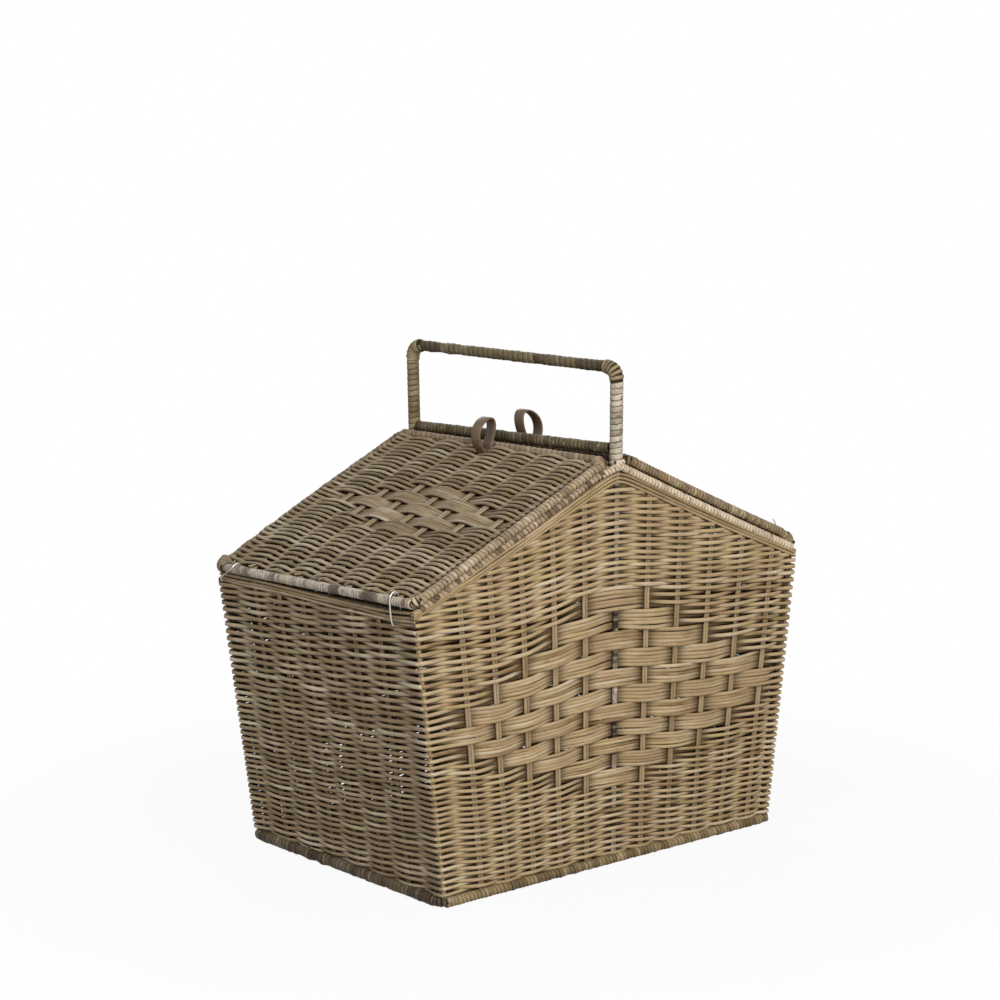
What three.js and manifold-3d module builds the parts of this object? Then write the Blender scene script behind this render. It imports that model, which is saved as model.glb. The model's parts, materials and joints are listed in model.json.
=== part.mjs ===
// House-shaped picnic basket: woven walls, two lids hinged at the eaves, a fixed carrying handle.
// Millimetres, Z up. X runs across the gables, Y along the ridge; the origin is under the middle.
import * as THREE from 'three';
import { mergeVertices } from 'three/addons/utils/BufferGeometryUtils.js';
import Module from 'manifold-3d';

// Woven body, measured over the weave
const baseWidth = 409; // across the side walls at the floor
const baseDepth = 293; // across the gable walls at the floor
const eaveWidth = 475; // across the side walls at the eaves
const eaveDepth = 303; // across the gable walls at the eaves
const eaveHeight = 270;
const wallThickness = 8;
const floorThickness = 6;
const floorLift = 1.5; // clear of the ground
const cornerPostDiameter = 9;

// Wrapped rims and the bare strands laid under them
const rimDiameter = 9;
const baseRimDiameter = 9;
const baseRimFlat = 0.5; // taken off the underside, so the basket stands flat
const trimHeight = 7;
const trimThickness = 5;

// Weave: rows of strands swell over the stakes and lie back between them
const strandThickness = 2.8; // of a strand, and of the stakes that show
const swellWidth = 10; // of the weave over a stake, before it falls back
const sideStakes = 6;
const sideStakePitch = 37.5;

// Diamonds of broad bands in the gables and lids; a band passes behind one stake and in front of the next
const gableDiamondReach = 6; // bands, and stakes, from the middle of a diamond to its points
const gableDiamondHeight = 161;
const gableBandHeight = 16.5;
const gableBandGrowth = 0.26; // bands get taller towards the top
const gableBandSag = 11; // bands hang lower towards the corners
const gableSagReach = 154; // from the middle to where they hang lowest
const gableStakes = 5; // each side of the handle's stake
const gableStakePitch = 36.7;
const gableStakeDrift = 0.38; // stakes stand a little wider on one side
const gableStakeWidth = 6.2; // two rods side by side
const lidDiamondReach = 3;
const lidDiamondSetback = 124.5; // from the hinge line to the middle of the diamond
const lidBandHeight = 15.5;
const lidStakes = 3; // each side of the middle one
const lidStakePitch = 37;
const lidStakeShift = 10; // of the middle stake, along the ridge
const lidStakeWidth = 7.4;

// Lids
const hingeHeight = 277; // centre of the lids' eave rims
const lidPitch = THREE.MathUtils.degToRad(24.8);
const ridgeGap = 28; // between the centre lines of the two ridge rims
const lidThickness = 7;

// Hinge loops
const loopWireDiameter = 1.5;
const loopSetback = 27; // in from the ends of the eave rims
const loopSlack = 0.5; // sideways play in a notch

// Handle
const stakeDiameter = 8; // bare foot of the handle post, woven into the gable
const stakeCover = 1.2; // weave left in front of the stake
const handleDiameter = 12.4;
const cornerBindingDiameter = 13.4;
const handleRise = 78.5; // centre of the bar above the ridge bar's
const handleBend = 14;
const ridgeBarDiameter = 10.6;
const ridgeBarRise = 8.2; // centre of the ridge bar above the lids' ridge rims

// Leather pulls
const pullWidth = 13;
const pullThickness = 2;
const pullHeight = 28; // above the lid, square to it
const pullSpread = 21; // widest, between the strap's middles
const pullSlotSpacing = 9;
const pullSetback = 13; // middle of the slots from the ridge rim's centre line
const pullOffset = 6; // along the ridge from the middle

// Fits
const seatGap = 0.3;
const cutRun = 0.3; // cuts run past faces and past each other

// Worked out from the sizes above
const rimRadius = rimDiameter / 2;
const handleRadius = handleDiameter / 2;
const sideLean = Math.atan((eaveWidth - baseWidth) / 2 / eaveHeight);
const gableLean = Math.atan((eaveDepth - baseDepth) / 2 / eaveHeight);
const outerX = (z) => baseWidth / 2 + z * Math.tan(sideLean);
const outerY = (z) => baseDepth / 2 + z * Math.tan(gableLean);
const middleX = (z) => outerX(z) - wallThickness / 2 / Math.cos(sideLean);
const middleY = (z) => outerY(z) - wallThickness / 2 / Math.cos(gableLean);
const hingeX = middleX(hingeHeight);
const lidHalfDepth = middleY(hingeHeight);
const lidLength = (hingeX - ridgeGap / 2) / Math.cos(lidPitch);
const ridgeBarHeight = hingeHeight + lidLength * Math.sin(lidPitch) + ridgeBarRise;
const handleHeight = ridgeBarHeight + handleRise;
const loopY = lidHalfDepth - loopSetback;
const loopRadius = rimRadius + seatGap + loopWireDiameter / 2;
const notchWidth = loopWireDiameter + 2 * loopSlack;
const baseRimCentre = baseRimDiameter / 2 - baseRimFlat;
const wallFoot = baseRimCentre + baseRimDiameter / 2 + seatGap;

// Depths square to the lid, counted down from its middle plane
const rakeRimDepth = rimDiameter + seatGap;
const rakeTrimDepth = rakeRimDepth + rimRadius + seatGap + trimHeight / 2;
const rakeTrimFoot = rakeTrimDepth + trimHeight / 2;
const gableTopDepth = rakeTrimFoot + seatGap;
const rakeHeight = (x, depth) =>
  hingeHeight + (hingeX - Math.abs(x)) * Math.tan(lidPitch) - depth / Math.cos(lidPitch);

const materials = {
  weave: new THREE.MeshStandardMaterial({ color: 0x9b866a, roughness: 0.75, metalness: 0 }),
  rim: new THREE.MeshStandardMaterial({ color: 0xb3a182, roughness: 0.65, metalness: 0 }),
  strand: new THREE.MeshStandardMaterial({ color: 0xb49870, roughness: 0.65, metalness: 0 }),
  handle: new THREE.MeshStandardMaterial({ color: 0x8a7c5e, roughness: 0.6, metalness: 0 }),
  leather: new THREE.MeshStandardMaterial({ color: 0x5b4a38, roughness: 0.7, metalness: 0 }),
  wire: new THREE.MeshStandardMaterial({ color: 0xc8c2b6, roughness: 0.4, metalness: 0.6 }),
};

const wasm = await Module();
wasm.setup();

function toSolid(geometry) {
  const bare = new THREE.BufferGeometry();
  bare.setAttribute('position', geometry.getAttribute('position'));
  bare.setIndex(geometry.getIndex());
  const merged = mergeVertices(bare, 1e-4);
  const mesh = new wasm.Mesh({
    numProp: 3,
    vertProperties: merged.getAttribute('position').array,
    triVerts: new Uint32Array(merged.getIndex().array),
  });
  return new wasm.Manifold(mesh);
}

function cutAway(geometry, tools) {
  const solid = tools.reduce((left, tool) => left.subtract(toSolid(tool)), toSolid(geometry));
  const mesh = solid.getMesh();
  const result = new THREE.BufferGeometry();
  result.setAttribute('position', new THREE.BufferAttribute(mesh.vertProperties, 3));
  result.setIndex(new THREE.BufferAttribute(mesh.triVerts, 1));
  result.computeVertexNormals();
  return result;
}

function piece(parent, name, geometry, material) {
  const mesh = new THREE.Mesh(geometry, material);
  mesh.name = name;
  parent.add(mesh);
  return mesh;
}

// A shape swept straight from one point to another, its own Y turned towards up
function sweep(shape, from, to, up) {
  const along = to.clone().sub(from);
  const geometry = new THREE.ExtrudeGeometry(shape, {
    depth: along.length(), bevelEnabled: false, curveSegments: 5,
  });
  along.normalize();
  const across = up.clone().cross(along).normalize();
  const frame = new THREE.Matrix4().makeBasis(across, along.clone().cross(across), along);
  return geometry.applyMatrix4(frame.setPosition(from));
}

function roundRod(diameter, from, to) {
  const along = to.clone().sub(from);
  const geometry = new THREE.CylinderGeometry(diameter / 2, diameter / 2, along.length(), 12);
  const turn = new THREE.Quaternion().setFromUnitVectors(
    new THREE.Vector3(0, 1, 0), along.clone().normalize());
  geometry.applyQuaternion(turn);
  const middle = from.clone().add(to).multiplyScalar(0.5);
  return geometry.translate(middle.x, middle.y, middle.z);
}

function shapeOf(points) {
  return new THREE.Shape(points.map(([x, y]) => new THREE.Vector2(x, y)));
}

// Two or three bare strands lying one on another, as one bar with rounded edges
function trimShape() {
  const r = trimThickness / 2;
  const straight = trimHeight / 2 - r;
  const shape = new THREE.Shape();
  shape.absarc(0, straight, r, 0, Math.PI, false);
  shape.absarc(0, -straight, r, Math.PI, 2 * Math.PI, false);
  return shape;
}

// Wrapped foot rim: a round bar with its underside cut level with the ground
function baseRimShape() {
  const r = baseRimDiameter / 2;
  const edge = Math.asin(baseRimCentre / r);
  const shape = new THREE.Shape();
  shape.absarc(0, baseRimCentre, r, -edge, Math.PI + edge, false);
  return shape;
}

// Grooves where the weave lies back between neighbouring places, from one end of its stakes to the other.
// X runs across the stakes, Y inwards from the panel's face and Z along the stakes
function weaveGrooves(places, depth, low, high) {
  return places.slice(1).map((place, i) => {
    const left = places[i] + swellWidth / 2;
    const right = place - swellWidth / 2;
    const plan = shapeOf([
      [left, -cutRun], [right, -cutRun], [right, 0], [(left + right) / 2, depth], [left, 0],
    ]);
    const groove = new THREE.ExtrudeGeometry(plan, { depth: high - low, bevelEnabled: false });
    return groove.translate(0, 0, low);
  });
}

// Places in a diamond where a band passes behind a stake, both counted from its middle
function diamondPlaces(reach, stakes) {
  const places = [];
  for (let band = 1 - reach; band < reach; band += 1) {
    const last = reach - Math.abs(band);
    for (let stake = -last; stake <= last; stake += 2) {
      if (Math.abs(stake) <= stakes) {
        places.push({ stake, band });
      }
    }
  }
  return places;
}

// What a band leaves open as it falls back behind a stake and comes forward again to the next one.
// X runs across the stakes, Y inwards from the panel's face and Z along the stake
function bandDip(before, middle, after, stakeWidth, depth, stakeFace, lower, upper) {
  const left = middle - stakeWidth / 2;
  const right = middle + stakeWidth / 2;
  const plan = [
    [before, -cutRun], [before, 0], [left, depth], [left, stakeFace], [right, stakeFace],
    [right, depth], [after, 0], [after, -cutRun], [right, -cutRun], [left, -cutRun],
  ];
  const cap = [[0, 1, 2], [0, 2, 3], [0, 3, 9], [9, 3, 4], [9, 4, 8], [7, 8, 4], [7, 4, 5], [7, 5, 6]];
  const count = plan.length;
  const places = [
    ...plan.map(([x, y]) => [x, y, lower(x) - cutRun]), ...plan.map(([x, y]) => [x, y, upper(x) + cutRun]),
  ];
  const faces = cap.flatMap(([a, b, c]) => [a, b, c, c + count, b + count, a + count]);
  for (let i = 0; i < count; i += 1) {
    const next = (i + 1) % count;
    faces.push(i, i + count, next + count, i, next + count, next);
  }
  const body = new THREE.BufferGeometry();
  body.setAttribute('position', new THREE.Float32BufferAttribute(places.flat(), 3));
  body.setIndex(faces);
  return body;
}

// Hollows in the face of a gable, in its wall's own axes
function gableRelief(upWall, low, high) {
  const depth = wallThickness - strandThickness;
  const level = (band) => gableDiamondHeight + gableBandHeight * band + gableBandGrowth * band * band;
  const sag = (x) =>
    gableBandSag * Math.sin(Math.min(Math.abs(x) / gableSagReach, 1) * Math.PI / 2) ** 1.5;
  const fan = (z) => middleX(z) / middleX(gableDiamondHeight); // stakes spread with the side walls
  const place = (stake) => {
    if (Math.abs(stake) > gableStakes) {
      return Math.sign(stake) * middleX(gableDiamondHeight);
    }
    return gableStakePitch * stake + gableStakeDrift * stake * stake;
  };
  const dips = diamondPlaces(gableDiamondReach, gableStakes).map(({ stake, band }) => {
    const x = (step) => place(stake + step) * fan(level(band));
    const isPost = stake === 0; // the handle's own stake is another piece
    return bandDip(x(-1), x(0), x(1),
      isPost ? stakeDiameter : gableStakeWidth, depth, isPost ? depth - cutRun : depth / 2,
      (at) => upWall(level(band - 0.5) - sag(at)), (at) => upWall(level(band + 0.5) - sag(at)));
  });
  const places = [];
  for (let stake = -gableStakes - 1; stake <= gableStakes + 1; stake += 1) {
    places.push(place(stake));
  }
  const grooves = weaveGrooves(places, depth / 2, low, high);
  for (const groove of grooves) {
    const corners = groove.getAttribute('position');
    for (let i = 0; i < corners.count; i += 1) {
      corners.setX(i, corners.getX(i) * fan(corners.getZ(i)));
    }
  }
  return [...dips, ...grooves];
}

// Hollows in the face of a side wall, in its own axes
function sideRelief(low, high, edge) {
  const places = [-edge];
  for (let stake = 0; stake < sideStakes; stake += 1) {
    places.push((stake - (sideStakes - 1) / 2) * sideStakePitch);
  }
  places.push(edge);
  const turn = new THREE.Matrix4().makeBasis(
    new THREE.Vector3(0, -1, 0), new THREE.Vector3(1, 0, 0), new THREE.Vector3(0, 0, 1));
  const grooves = weaveGrooves(places, (wallThickness - strandThickness) / 2, low, high);
  return grooves.map((groove) => groove.applyMatrix4(turn));
}

// Hollows in the face of a lid, in its own axes
function lidRelief() {
  const depth = lidThickness - strandThickness;
  const place = (stake) => lidStakeShift + lidStakePitch * stake;
  const dips = diamondPlaces(lidDiamondReach, lidStakes).map(({ stake, band }) => {
    const edge = (way) => lidDiamondSetback + lidBandHeight * (band + way / 2);
    return bandDip(place(stake - 1), place(stake), place(stake + 1), lidStakeWidth,
      depth, depth / 2, () => edge(-1), () => edge(1));
  });
  const places = [-lidHalfDepth];
  for (let stake = -lidStakes; stake <= lidStakes; stake += 1) {
    places.push(place(stake));
  }
  places.push(lidHalfDepth);
  const grooves = weaveGrooves(places, depth / 2, 0, lidLength);
  const turn = new THREE.Matrix4().makeBasis(
    new THREE.Vector3(0, -1, 0), new THREE.Vector3(0, 0, -1), new THREE.Vector3(1, 0, 0));
  turn.setPosition(0, 0, lidThickness / 2);
  return [...dips, ...grooves].map((hollow) => hollow.applyMatrix4(turn));
}

function floorAndRims(root) {
  const up = new THREE.Vector3(0, 0, 1);
  const x = middleX(baseRimCentre);
  const y = middleY(baseRimCentre);
  const r = baseRimDiameter / 2;
  const sideReach = y - r - seatGap;
  for (const [name, side] of [['front', -1], ['back', 1]]) {
    const from = new THREE.Vector3(-x - r, side * y, 0);
    const to = new THREE.Vector3(x + r, side * y, 0);
    piece(root, `${name}_base_rim`, sweep(baseRimShape(), from, to, up), materials.rim);
  }
  for (const [name, side] of [['left', -1], ['right', 1]]) {
    const from = new THREE.Vector3(side * x, -sideReach, 0);
    const to = new THREE.Vector3(side * x, sideReach, 0);
    piece(root, `${name}_base_rim`, sweep(baseRimShape(), from, to, up), materials.rim);
  }
  const width = 2 * (x - r - seatGap);
  const panel = new THREE.BoxGeometry(width, 2 * sideReach, floorThickness);
  panel.translate(0, 0, floorLift + floorThickness / 2);
  piece(root, 'floor_panel', panel, materials.weave);
}

function cornerPosts(root) {
  const inX = cornerPostDiameter / 2 / Math.cos(sideLean);
  const inY = cornerPostDiameter / 2 / Math.cos(gableLean);
  const foot = wallFoot + cornerPostDiameter / 2 * Math.sin(sideLean) + seatGap;
  const top = rakeHeight(outerX(eaveHeight), rakeTrimFoot) - seatGap;
  const at = (sx, sy, z) => new THREE.Vector3(sx * (outerX(z) - inX), sy * (outerY(z) - inY), z);
  for (const [yName, sy] of [['front', -1], ['back', 1]]) {
    for (const [xName, sx] of [['left', -1], ['right', 1]]) {
      const rod = roundRod(cornerPostDiameter, at(sx, sy, foot), at(sx, sy, top));
      piece(root, `${yName}_${xName}_corner_post`, rod, materials.strand);
    }
  }
}

// One gable: local X across, Y inwards from the weave's face, Z up the leaning wall
function gable(root, name, turn, sides) {
  const turned = new THREE.Group();
  turned.rotation.z = turn;
  root.add(turned);
  const wall = new THREE.Group();
  wall.position.y = -baseDepth / 2;
  wall.rotation.x = gableLean;
  turned.add(wall);
  const upWall = (z) => (z - wallThickness / 2 * Math.sin(gableLean)) / Math.cos(gableLean);

  const postGap = (cornerPostDiameter + seatGap) / Math.cos(sideLean);
  const foot = upWall(wallFoot);
  const edge = (z) => outerX(z) - postGap;
  const pitch = Math.tan(lidPitch);
  const apex = rakeHeight(0, gableTopDepth);
  const shoulder = (apex - pitch * edge(0)) / (1 + pitch * Math.tan(sideLean));
  const outline = shapeOf([
    [-edge(wallFoot), foot], [edge(wallFoot), foot], [edge(shoulder), upWall(shoulder)],
    [0, upWall(apex)], [-edge(shoulder), upWall(shoulder)],
  ]);
  const panel = new THREE.ExtrudeGeometry(outline, { depth: wallThickness, bevelEnabled: false });
  panel.rotateX(Math.PI / 2).translate(0, wallThickness, 0);
  const stakeY = stakeCover + seatGap + stakeDiameter / 2;
  const groove = roundRod(stakeDiameter + 2 * seatGap,
    new THREE.Vector3(0, stakeY, foot - seatGap), new THREE.Vector3(0, stakeY, upWall(apex) + seatGap));
  const relief = gableRelief(upWall, foot - cutRun, upWall(apex) + cutRun);
  const woven = cutAway(panel, [groove, ...relief]);
  piece(wall, `${name}_wall`, woven, materials.weave);

  // The post is a bare stake in the weave and is wrapped from the peak up
  const wrapFoot = upWall(apex) + seatGap - foot;
  const postTop = upWall(handleHeight - handleBend) - seatGap - foot;
  const profile = [
    [0, 0], [stakeDiameter / 2, 0], [stakeDiameter / 2, wrapFoot],
    [handleRadius, wrapFoot], [handleRadius, postTop], [0, postTop],
  ].map(([r, h]) => new THREE.Vector2(r, h));
  const post = new THREE.LatheGeometry(profile, 14).rotateX(Math.PI / 2).translate(0, stakeY, foot);
  piece(wall, `${name}_handle_post`, post, materials.handle);

  const clearOfPost = handleRadius + seatGap;
  for (const [sideName, side] of sides) {
    const at = (x, depth) => new THREE.Vector3(
      side * x, wallThickness / 2, upWall(rakeHeight(x, depth)));
    const slope = Math.sin(lidPitch);
    const rimEnds = [outerX(eaveHeight) - rimRadius * slope, clearOfPost + rimRadius * slope];
    const rim = roundRod(rimDiameter, at(rimEnds[0], rakeRimDepth), at(rimEnds[1], rakeRimDepth));
    piece(wall, `${name}_${sideName}_rake_rim`, rim, materials.rim);
    const half = trimHeight / 2 * slope;
    const trimEnds = [outerX(eaveHeight) - half, clearOfPost + half];
    const upSlope = new THREE.Vector3(-side * slope, 0, Math.cos(lidPitch));
    const trim = sweep(trimShape(), at(trimEnds[0], rakeTrimDepth), at(trimEnds[1], rakeTrimDepth),
      upSlope);
    piece(wall, `${name}_${sideName}_rake_trim`, trim, materials.strand);
  }
}

// One lid: local X up the slope from the hinge line, Y along the ridge, Z square to the lid
function lid(parent, name, ends, pullY) {
  const board = new THREE.Group();
  board.position.set(-hingeX, 0, hingeHeight);
  board.rotation.y = -lidPitch;
  parent.add(board);
  const endY = lidHalfDepth + rimRadius;
  const inset = rimRadius + seatGap;
  const alongRidge = (s) => roundRod(rimDiameter,
    new THREE.Vector3(s, -endY, 0), new THREE.Vector3(s, endY, 0));
  piece(board, `${name}_lid_eave_rim`, alongRidge(0), materials.rim);
  piece(board, `${name}_lid_ridge_rim`, alongRidge(lidLength), materials.rim);
  for (const [endName, y] of [[ends[0], -lidHalfDepth], [ends[1], lidHalfDepth]]) {
    const rim = roundRod(rimDiameter,
      new THREE.Vector3(inset, y, 0), new THREE.Vector3(lidLength - inset, y, 0));
    piece(board, `${name}_lid_${endName}_rake_rim`, rim, materials.rim);
  }

  const panelY = lidHalfDepth - inset;
  const notchReach = loopRadius * 1.25 + loopWireDiameter / 2 + seatGap;
  const notch = (y) => [
    [inset, y + notchWidth / 2], [notchReach, y + notchWidth / 2],
    [notchReach, y - notchWidth / 2], [inset, y - notchWidth / 2],
  ];
  const outline = shapeOf([
    [inset, -panelY], [lidLength - inset, -panelY], [lidLength - inset, panelY], [inset, panelY],
    ...notch(loopY), ...notch(-loopY),
  ]);
  const panel = new THREE.ExtrudeGeometry(outline, { depth: lidThickness, bevelEnabled: false });
  panel.translate(0, 0, -lidThickness / 2);
  const slotMiddle = lidLength - pullSetback;
  const slotSize = [pullThickness + 2 * seatGap, pullWidth + 2 * seatGap, 2 * lidThickness];
  const slots = [slotMiddle - pullSlotSpacing / 2, slotMiddle + pullSlotSpacing / 2].map((s) =>
    new THREE.BoxGeometry(...slotSize).translate(s, pullY, 0));
  piece(board, `${name}_lid_panel`, cutAway(panel, [...slots, ...lidRelief()]), materials.weave);

  const strap = new THREE.ExtrudeGeometry(pullShape(slotMiddle), { depth: pullWidth, bevelEnabled: false });
  strap.rotateX(Math.PI / 2).translate(0, pullY + pullWidth / 2, 0);
  piece(board, `${name}_lid_pull`, strap, materials.leather);
}

// The strap seen from its edge: through both slots, round under the weave, and a standing loop
function pullShape(slotMiddle) {
  const half = pullSlotSpacing / 2;
  const face = lidThickness / 2;
  const under = -face - seatGap - pullThickness / 2;
  const foot = face + pullThickness;
  const swell = (pullSpread / 2 - half / 8) / 0.75;
  const bend = new THREE.CubicBezierCurve(
    new THREE.Vector2(-half, 0), new THREE.Vector2(-swell, pullHeight * 0.4),
    new THREE.Vector2(-swell, pullHeight), new THREE.Vector2(0, pullHeight));
  const rising = bend.getPoints(10).slice(1);
  const falling = rising.slice(0, -1).reverse().map((p) => new THREE.Vector2(-p.x, p.y));
  const standing = [...rising, ...falling].map((p) =>
    new THREE.Vector2(slotMiddle + p.x + p.y * Math.tan(lidPitch), foot + p.y));
  const middle = [
    new THREE.Vector2(slotMiddle - half, under), new THREE.Vector2(slotMiddle - half, foot),
    ...standing,
    new THREE.Vector2(slotMiddle + half, foot), new THREE.Vector2(slotMiddle + half, under),
  ];
  const outer = new THREE.Shape(offsetLoop(middle, pullThickness / 2));
  outer.holes.push(new THREE.Path(offsetLoop(middle, -pullThickness / 2).reverse()));
  return outer;
}

// A closed outline moved sideways by the same amount all round, its corners mitred
function offsetLoop(points, amount) {
  return points.map((p, i) => {
    const before = points[(i + points.length - 1) % points.length];
    const after = points[(i + 1) % points.length];
    const into = p.clone().sub(before).normalize();
    const out = after.clone().sub(p).normalize();
    const left = new THREE.Vector2(-into.y - out.y, into.x + out.x).normalize();
    const spread = left.dot(new THREE.Vector2(-into.y, into.x));
    return p.clone().addScaledVector(left, amount / spread);
  });
}

// One side: local X inwards from the weave's face, Y along the ridge, Z up the leaning wall
function side(root, name, turn, ends, pullY) {
  const turned = new THREE.Group();
  turned.rotation.z = turn;
  root.add(turned);
  lid(turned, name, ends, pullY);
  const wall = new THREE.Group();
  wall.position.x = -baseWidth / 2;
  wall.rotation.y = -sideLean;
  turned.add(wall);
  const middle = wallThickness / 2;
  const hingeUp = (hingeHeight - middle * Math.sin(sideLean)) / Math.cos(sideLean);
  const rimUp = hingeUp - rimDiameter - seatGap;
  const trimUp = rimUp - rimRadius - seatGap - trimHeight / 2;
  const wallTop = trimUp - trimHeight / 2 - seatGap;

  const postGap = (cornerPostDiameter + seatGap) / Math.cos(gableLean);
  const edge = (up) => outerY(up * Math.cos(sideLean)) - postGap;
  const foot = wallFoot / Math.cos(sideLean);
  const loopFoot = hingeUp - wallTop + loopWireDiameter + 2 * seatGap;
  const notch = (y) => [
    [y + notchWidth / 2, wallTop], [y + notchWidth / 2, hingeUp - loopFoot],
    [y - notchWidth / 2, hingeUp - loopFoot], [y - notchWidth / 2, wallTop],
  ];
  const outline = shapeOf([
    [-edge(foot), foot], [edge(foot), foot], [edge(wallTop), wallTop],
    ...notch(loopY), ...notch(-loopY), [-edge(wallTop), wallTop],
  ]);
  const panel = new THREE.ExtrudeGeometry(outline, { depth: wallThickness, bevelEnabled: false });
  panel.applyMatrix4(new THREE.Matrix4().makeBasis(
    new THREE.Vector3(0, 1, 0), new THREE.Vector3(0, 0, 1), new THREE.Vector3(1, 0, 0)));
  const relief = sideRelief(foot - cutRun, wallTop + cutRun, middleY(gableDiamondHeight));
  piece(wall, `${name}_wall`, cutAway(panel, relief), materials.weave);

  const rimEnd = middleY(eaveHeight) - rimRadius - seatGap;
  const rim = roundRod(rimDiameter,
    new THREE.Vector3(middle, -rimEnd, rimUp), new THREE.Vector3(middle, rimEnd, rimUp));
  piece(wall, `${name}_eave_rim`, rim, materials.rim);
  const trim = sweep(trimShape(), new THREE.Vector3(middle, -rimEnd, trimUp),
    new THREE.Vector3(middle, rimEnd, trimUp), new THREE.Vector3(0, 0, 1));
  piece(wall, `${name}_eave_trim`, trim, materials.strand);

  const drop = hingeUp - wallTop + loopWireDiameter / 2 - loopRadius;
  for (const [endName, y] of [[ends[0], -loopY], [ends[1], loopY]]) {
    const loop = hingeLoop(drop).translate(middle, y, hingeUp);
    piece(wall, `${name}_${endName}_hinge_loop`, loop, materials.wire);
  }
}

// A wire loop drawn out downwards, round the lid's rim at the top and the body's trim below
function hingeLoop(drop) {
  const loop = new THREE.TorusGeometry(loopRadius, loopWireDiameter / 2, 8, 32);
  const places = loop.getAttribute('position');
  for (let i = 0; i < places.count; i += 1) {
    if (places.getY(i) < -1e-6) {
      places.setY(i, places.getY(i) - drop);
    }
  }
  return loop.rotateX(Math.PI / 2);
}

function handle(root) {
  const postY = (z) => outerY(z) - (stakeCover + seatGap + stakeDiameter / 2) / Math.cos(gableLean);
  const bendFoot = handleHeight - handleBend;
  const barEnd = postY(bendFoot) - handleBend;
  const barHalf = barEnd - seatGap;
  const bar = roundRod(handleDiameter,
    new THREE.Vector3(0, -barHalf, handleHeight), new THREE.Vector3(0, barHalf, handleHeight));
  piece(root, 'handle_bar', bar, materials.handle);
  const section = new THREE.Shape().absarc(0, 0, cornerBindingDiameter / 2, 0, 2 * Math.PI, false);
  for (const [name, end] of [['front', -1], ['back', 1]]) {
    const bend = new THREE.QuadraticBezierCurve3(
      new THREE.Vector3(0, end * postY(bendFoot), bendFoot),
      new THREE.Vector3(0, end * postY(bendFoot), handleHeight),
      new THREE.Vector3(0, end * barEnd, handleHeight));
    const binding = new THREE.ExtrudeGeometry(section, {
      steps: 8, curveSegments: 7, bevelEnabled: false, extrudePath: bend,
    });
    piece(root, `${name}_handle_corner`, binding, materials.handle);
  }
  const ridgeHalf = postY(ridgeBarHeight) - handleRadius - seatGap;
  const ridge = roundRod(ridgeBarDiameter,
    new THREE.Vector3(0, -ridgeHalf, ridgeBarHeight), new THREE.Vector3(0, ridgeHalf, ridgeBarHeight));
  piece(root, 'ridge_bar', ridge, materials.handle);
}

const basket = new THREE.Group();
floorAndRims(basket);
cornerPosts(basket);
gable(basket, 'front', 0, [['left', -1], ['right', 1]]);
gable(basket, 'back', Math.PI, [['right', -1], ['left', 1]]);
side(basket, 'left', 0, ['front', 'back'], pullOffset);
side(basket, 'right', Math.PI, ['back', 'front'], -pullOffset);
handle(basket);

export default basket;
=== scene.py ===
import json
import math
import random
import bpy
from mathutils import Matrix, Vector


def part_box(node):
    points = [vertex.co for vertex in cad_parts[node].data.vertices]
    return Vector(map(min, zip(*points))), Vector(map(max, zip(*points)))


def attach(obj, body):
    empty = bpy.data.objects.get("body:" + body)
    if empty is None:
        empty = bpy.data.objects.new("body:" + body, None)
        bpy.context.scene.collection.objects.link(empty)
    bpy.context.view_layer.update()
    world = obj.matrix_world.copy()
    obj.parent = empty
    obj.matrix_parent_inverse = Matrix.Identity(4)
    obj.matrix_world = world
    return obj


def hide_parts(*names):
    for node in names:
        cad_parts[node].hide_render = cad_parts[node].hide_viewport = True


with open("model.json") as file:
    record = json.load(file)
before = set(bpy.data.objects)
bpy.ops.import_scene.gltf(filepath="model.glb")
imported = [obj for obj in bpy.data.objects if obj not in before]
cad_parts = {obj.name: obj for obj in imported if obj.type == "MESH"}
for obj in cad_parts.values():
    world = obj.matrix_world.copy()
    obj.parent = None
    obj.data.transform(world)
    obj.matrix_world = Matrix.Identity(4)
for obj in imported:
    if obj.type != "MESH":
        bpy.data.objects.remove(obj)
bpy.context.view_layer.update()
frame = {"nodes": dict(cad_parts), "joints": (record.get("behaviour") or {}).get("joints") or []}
mm = 0.001
print("basket: frame loaded,", len(frame["nodes"]), "nodes")


# Places read from the frame

def boxOf(node):
    low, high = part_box(node)
    return Vector(low), Vector(high)


def middleOf(node):
    low, high = boxOf(node)
    return (low + high) / 2


def mix(a, b, t):
    return a + (b - a) * t


def within(value, low=0.0, high=1.0):
    return min(max(value, low), high)


def shares(steps):  # even steps from 0 to 1
    return [i / steps for i in range(steps + 1)]


def ease(t):
    t = within(t)
    return t * t * (3 - 2 * t)


endSigns = (("front", -1), ("back", 1))   # of y
handSigns = (("left", -1), ("right", 1))  # of x
alongX = Vector((1, 0, 0))
alongY = Vector((0, 1, 0))
alongZ = Vector((0, 0, 1))
wallHalf = 4 * mm  # half the thickness of a woven wall
sideLow, sideHigh = boxOf("left_wall")
gableLow, gableHigh = boxOf("front_wall")
sideSlope = (sideHigh.x - sideLow.x - 2 * wallHalf) / (sideHigh.z - sideLow.z)
gableSlope = (gableHigh.y - gableLow.y - 2 * wallHalf) / (gableHigh.z - gableLow.z)
sideLean = math.atan(sideSlope)
gableLean = math.atan(gableSlope)
hingeX = abs(frame["joints"][0]["pos_m"][0])
hingeZ = frame["joints"][0]["pos_m"][2]
ridge = middleOf("right_lid_ridge_rim")
lidPitch = math.atan2(ridge.z - hingeZ, hingeX - ridge.x)
lidLength = math.hypot(ridge.z - hingeZ, hingeX - ridge.x)
rakeSlope = math.tan(lidPitch)


def sideX(z):  # half width of the basket at the middle of its side walls
    return -sideHigh.x + wallHalf + (z - sideLow.z) * sideSlope


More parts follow.
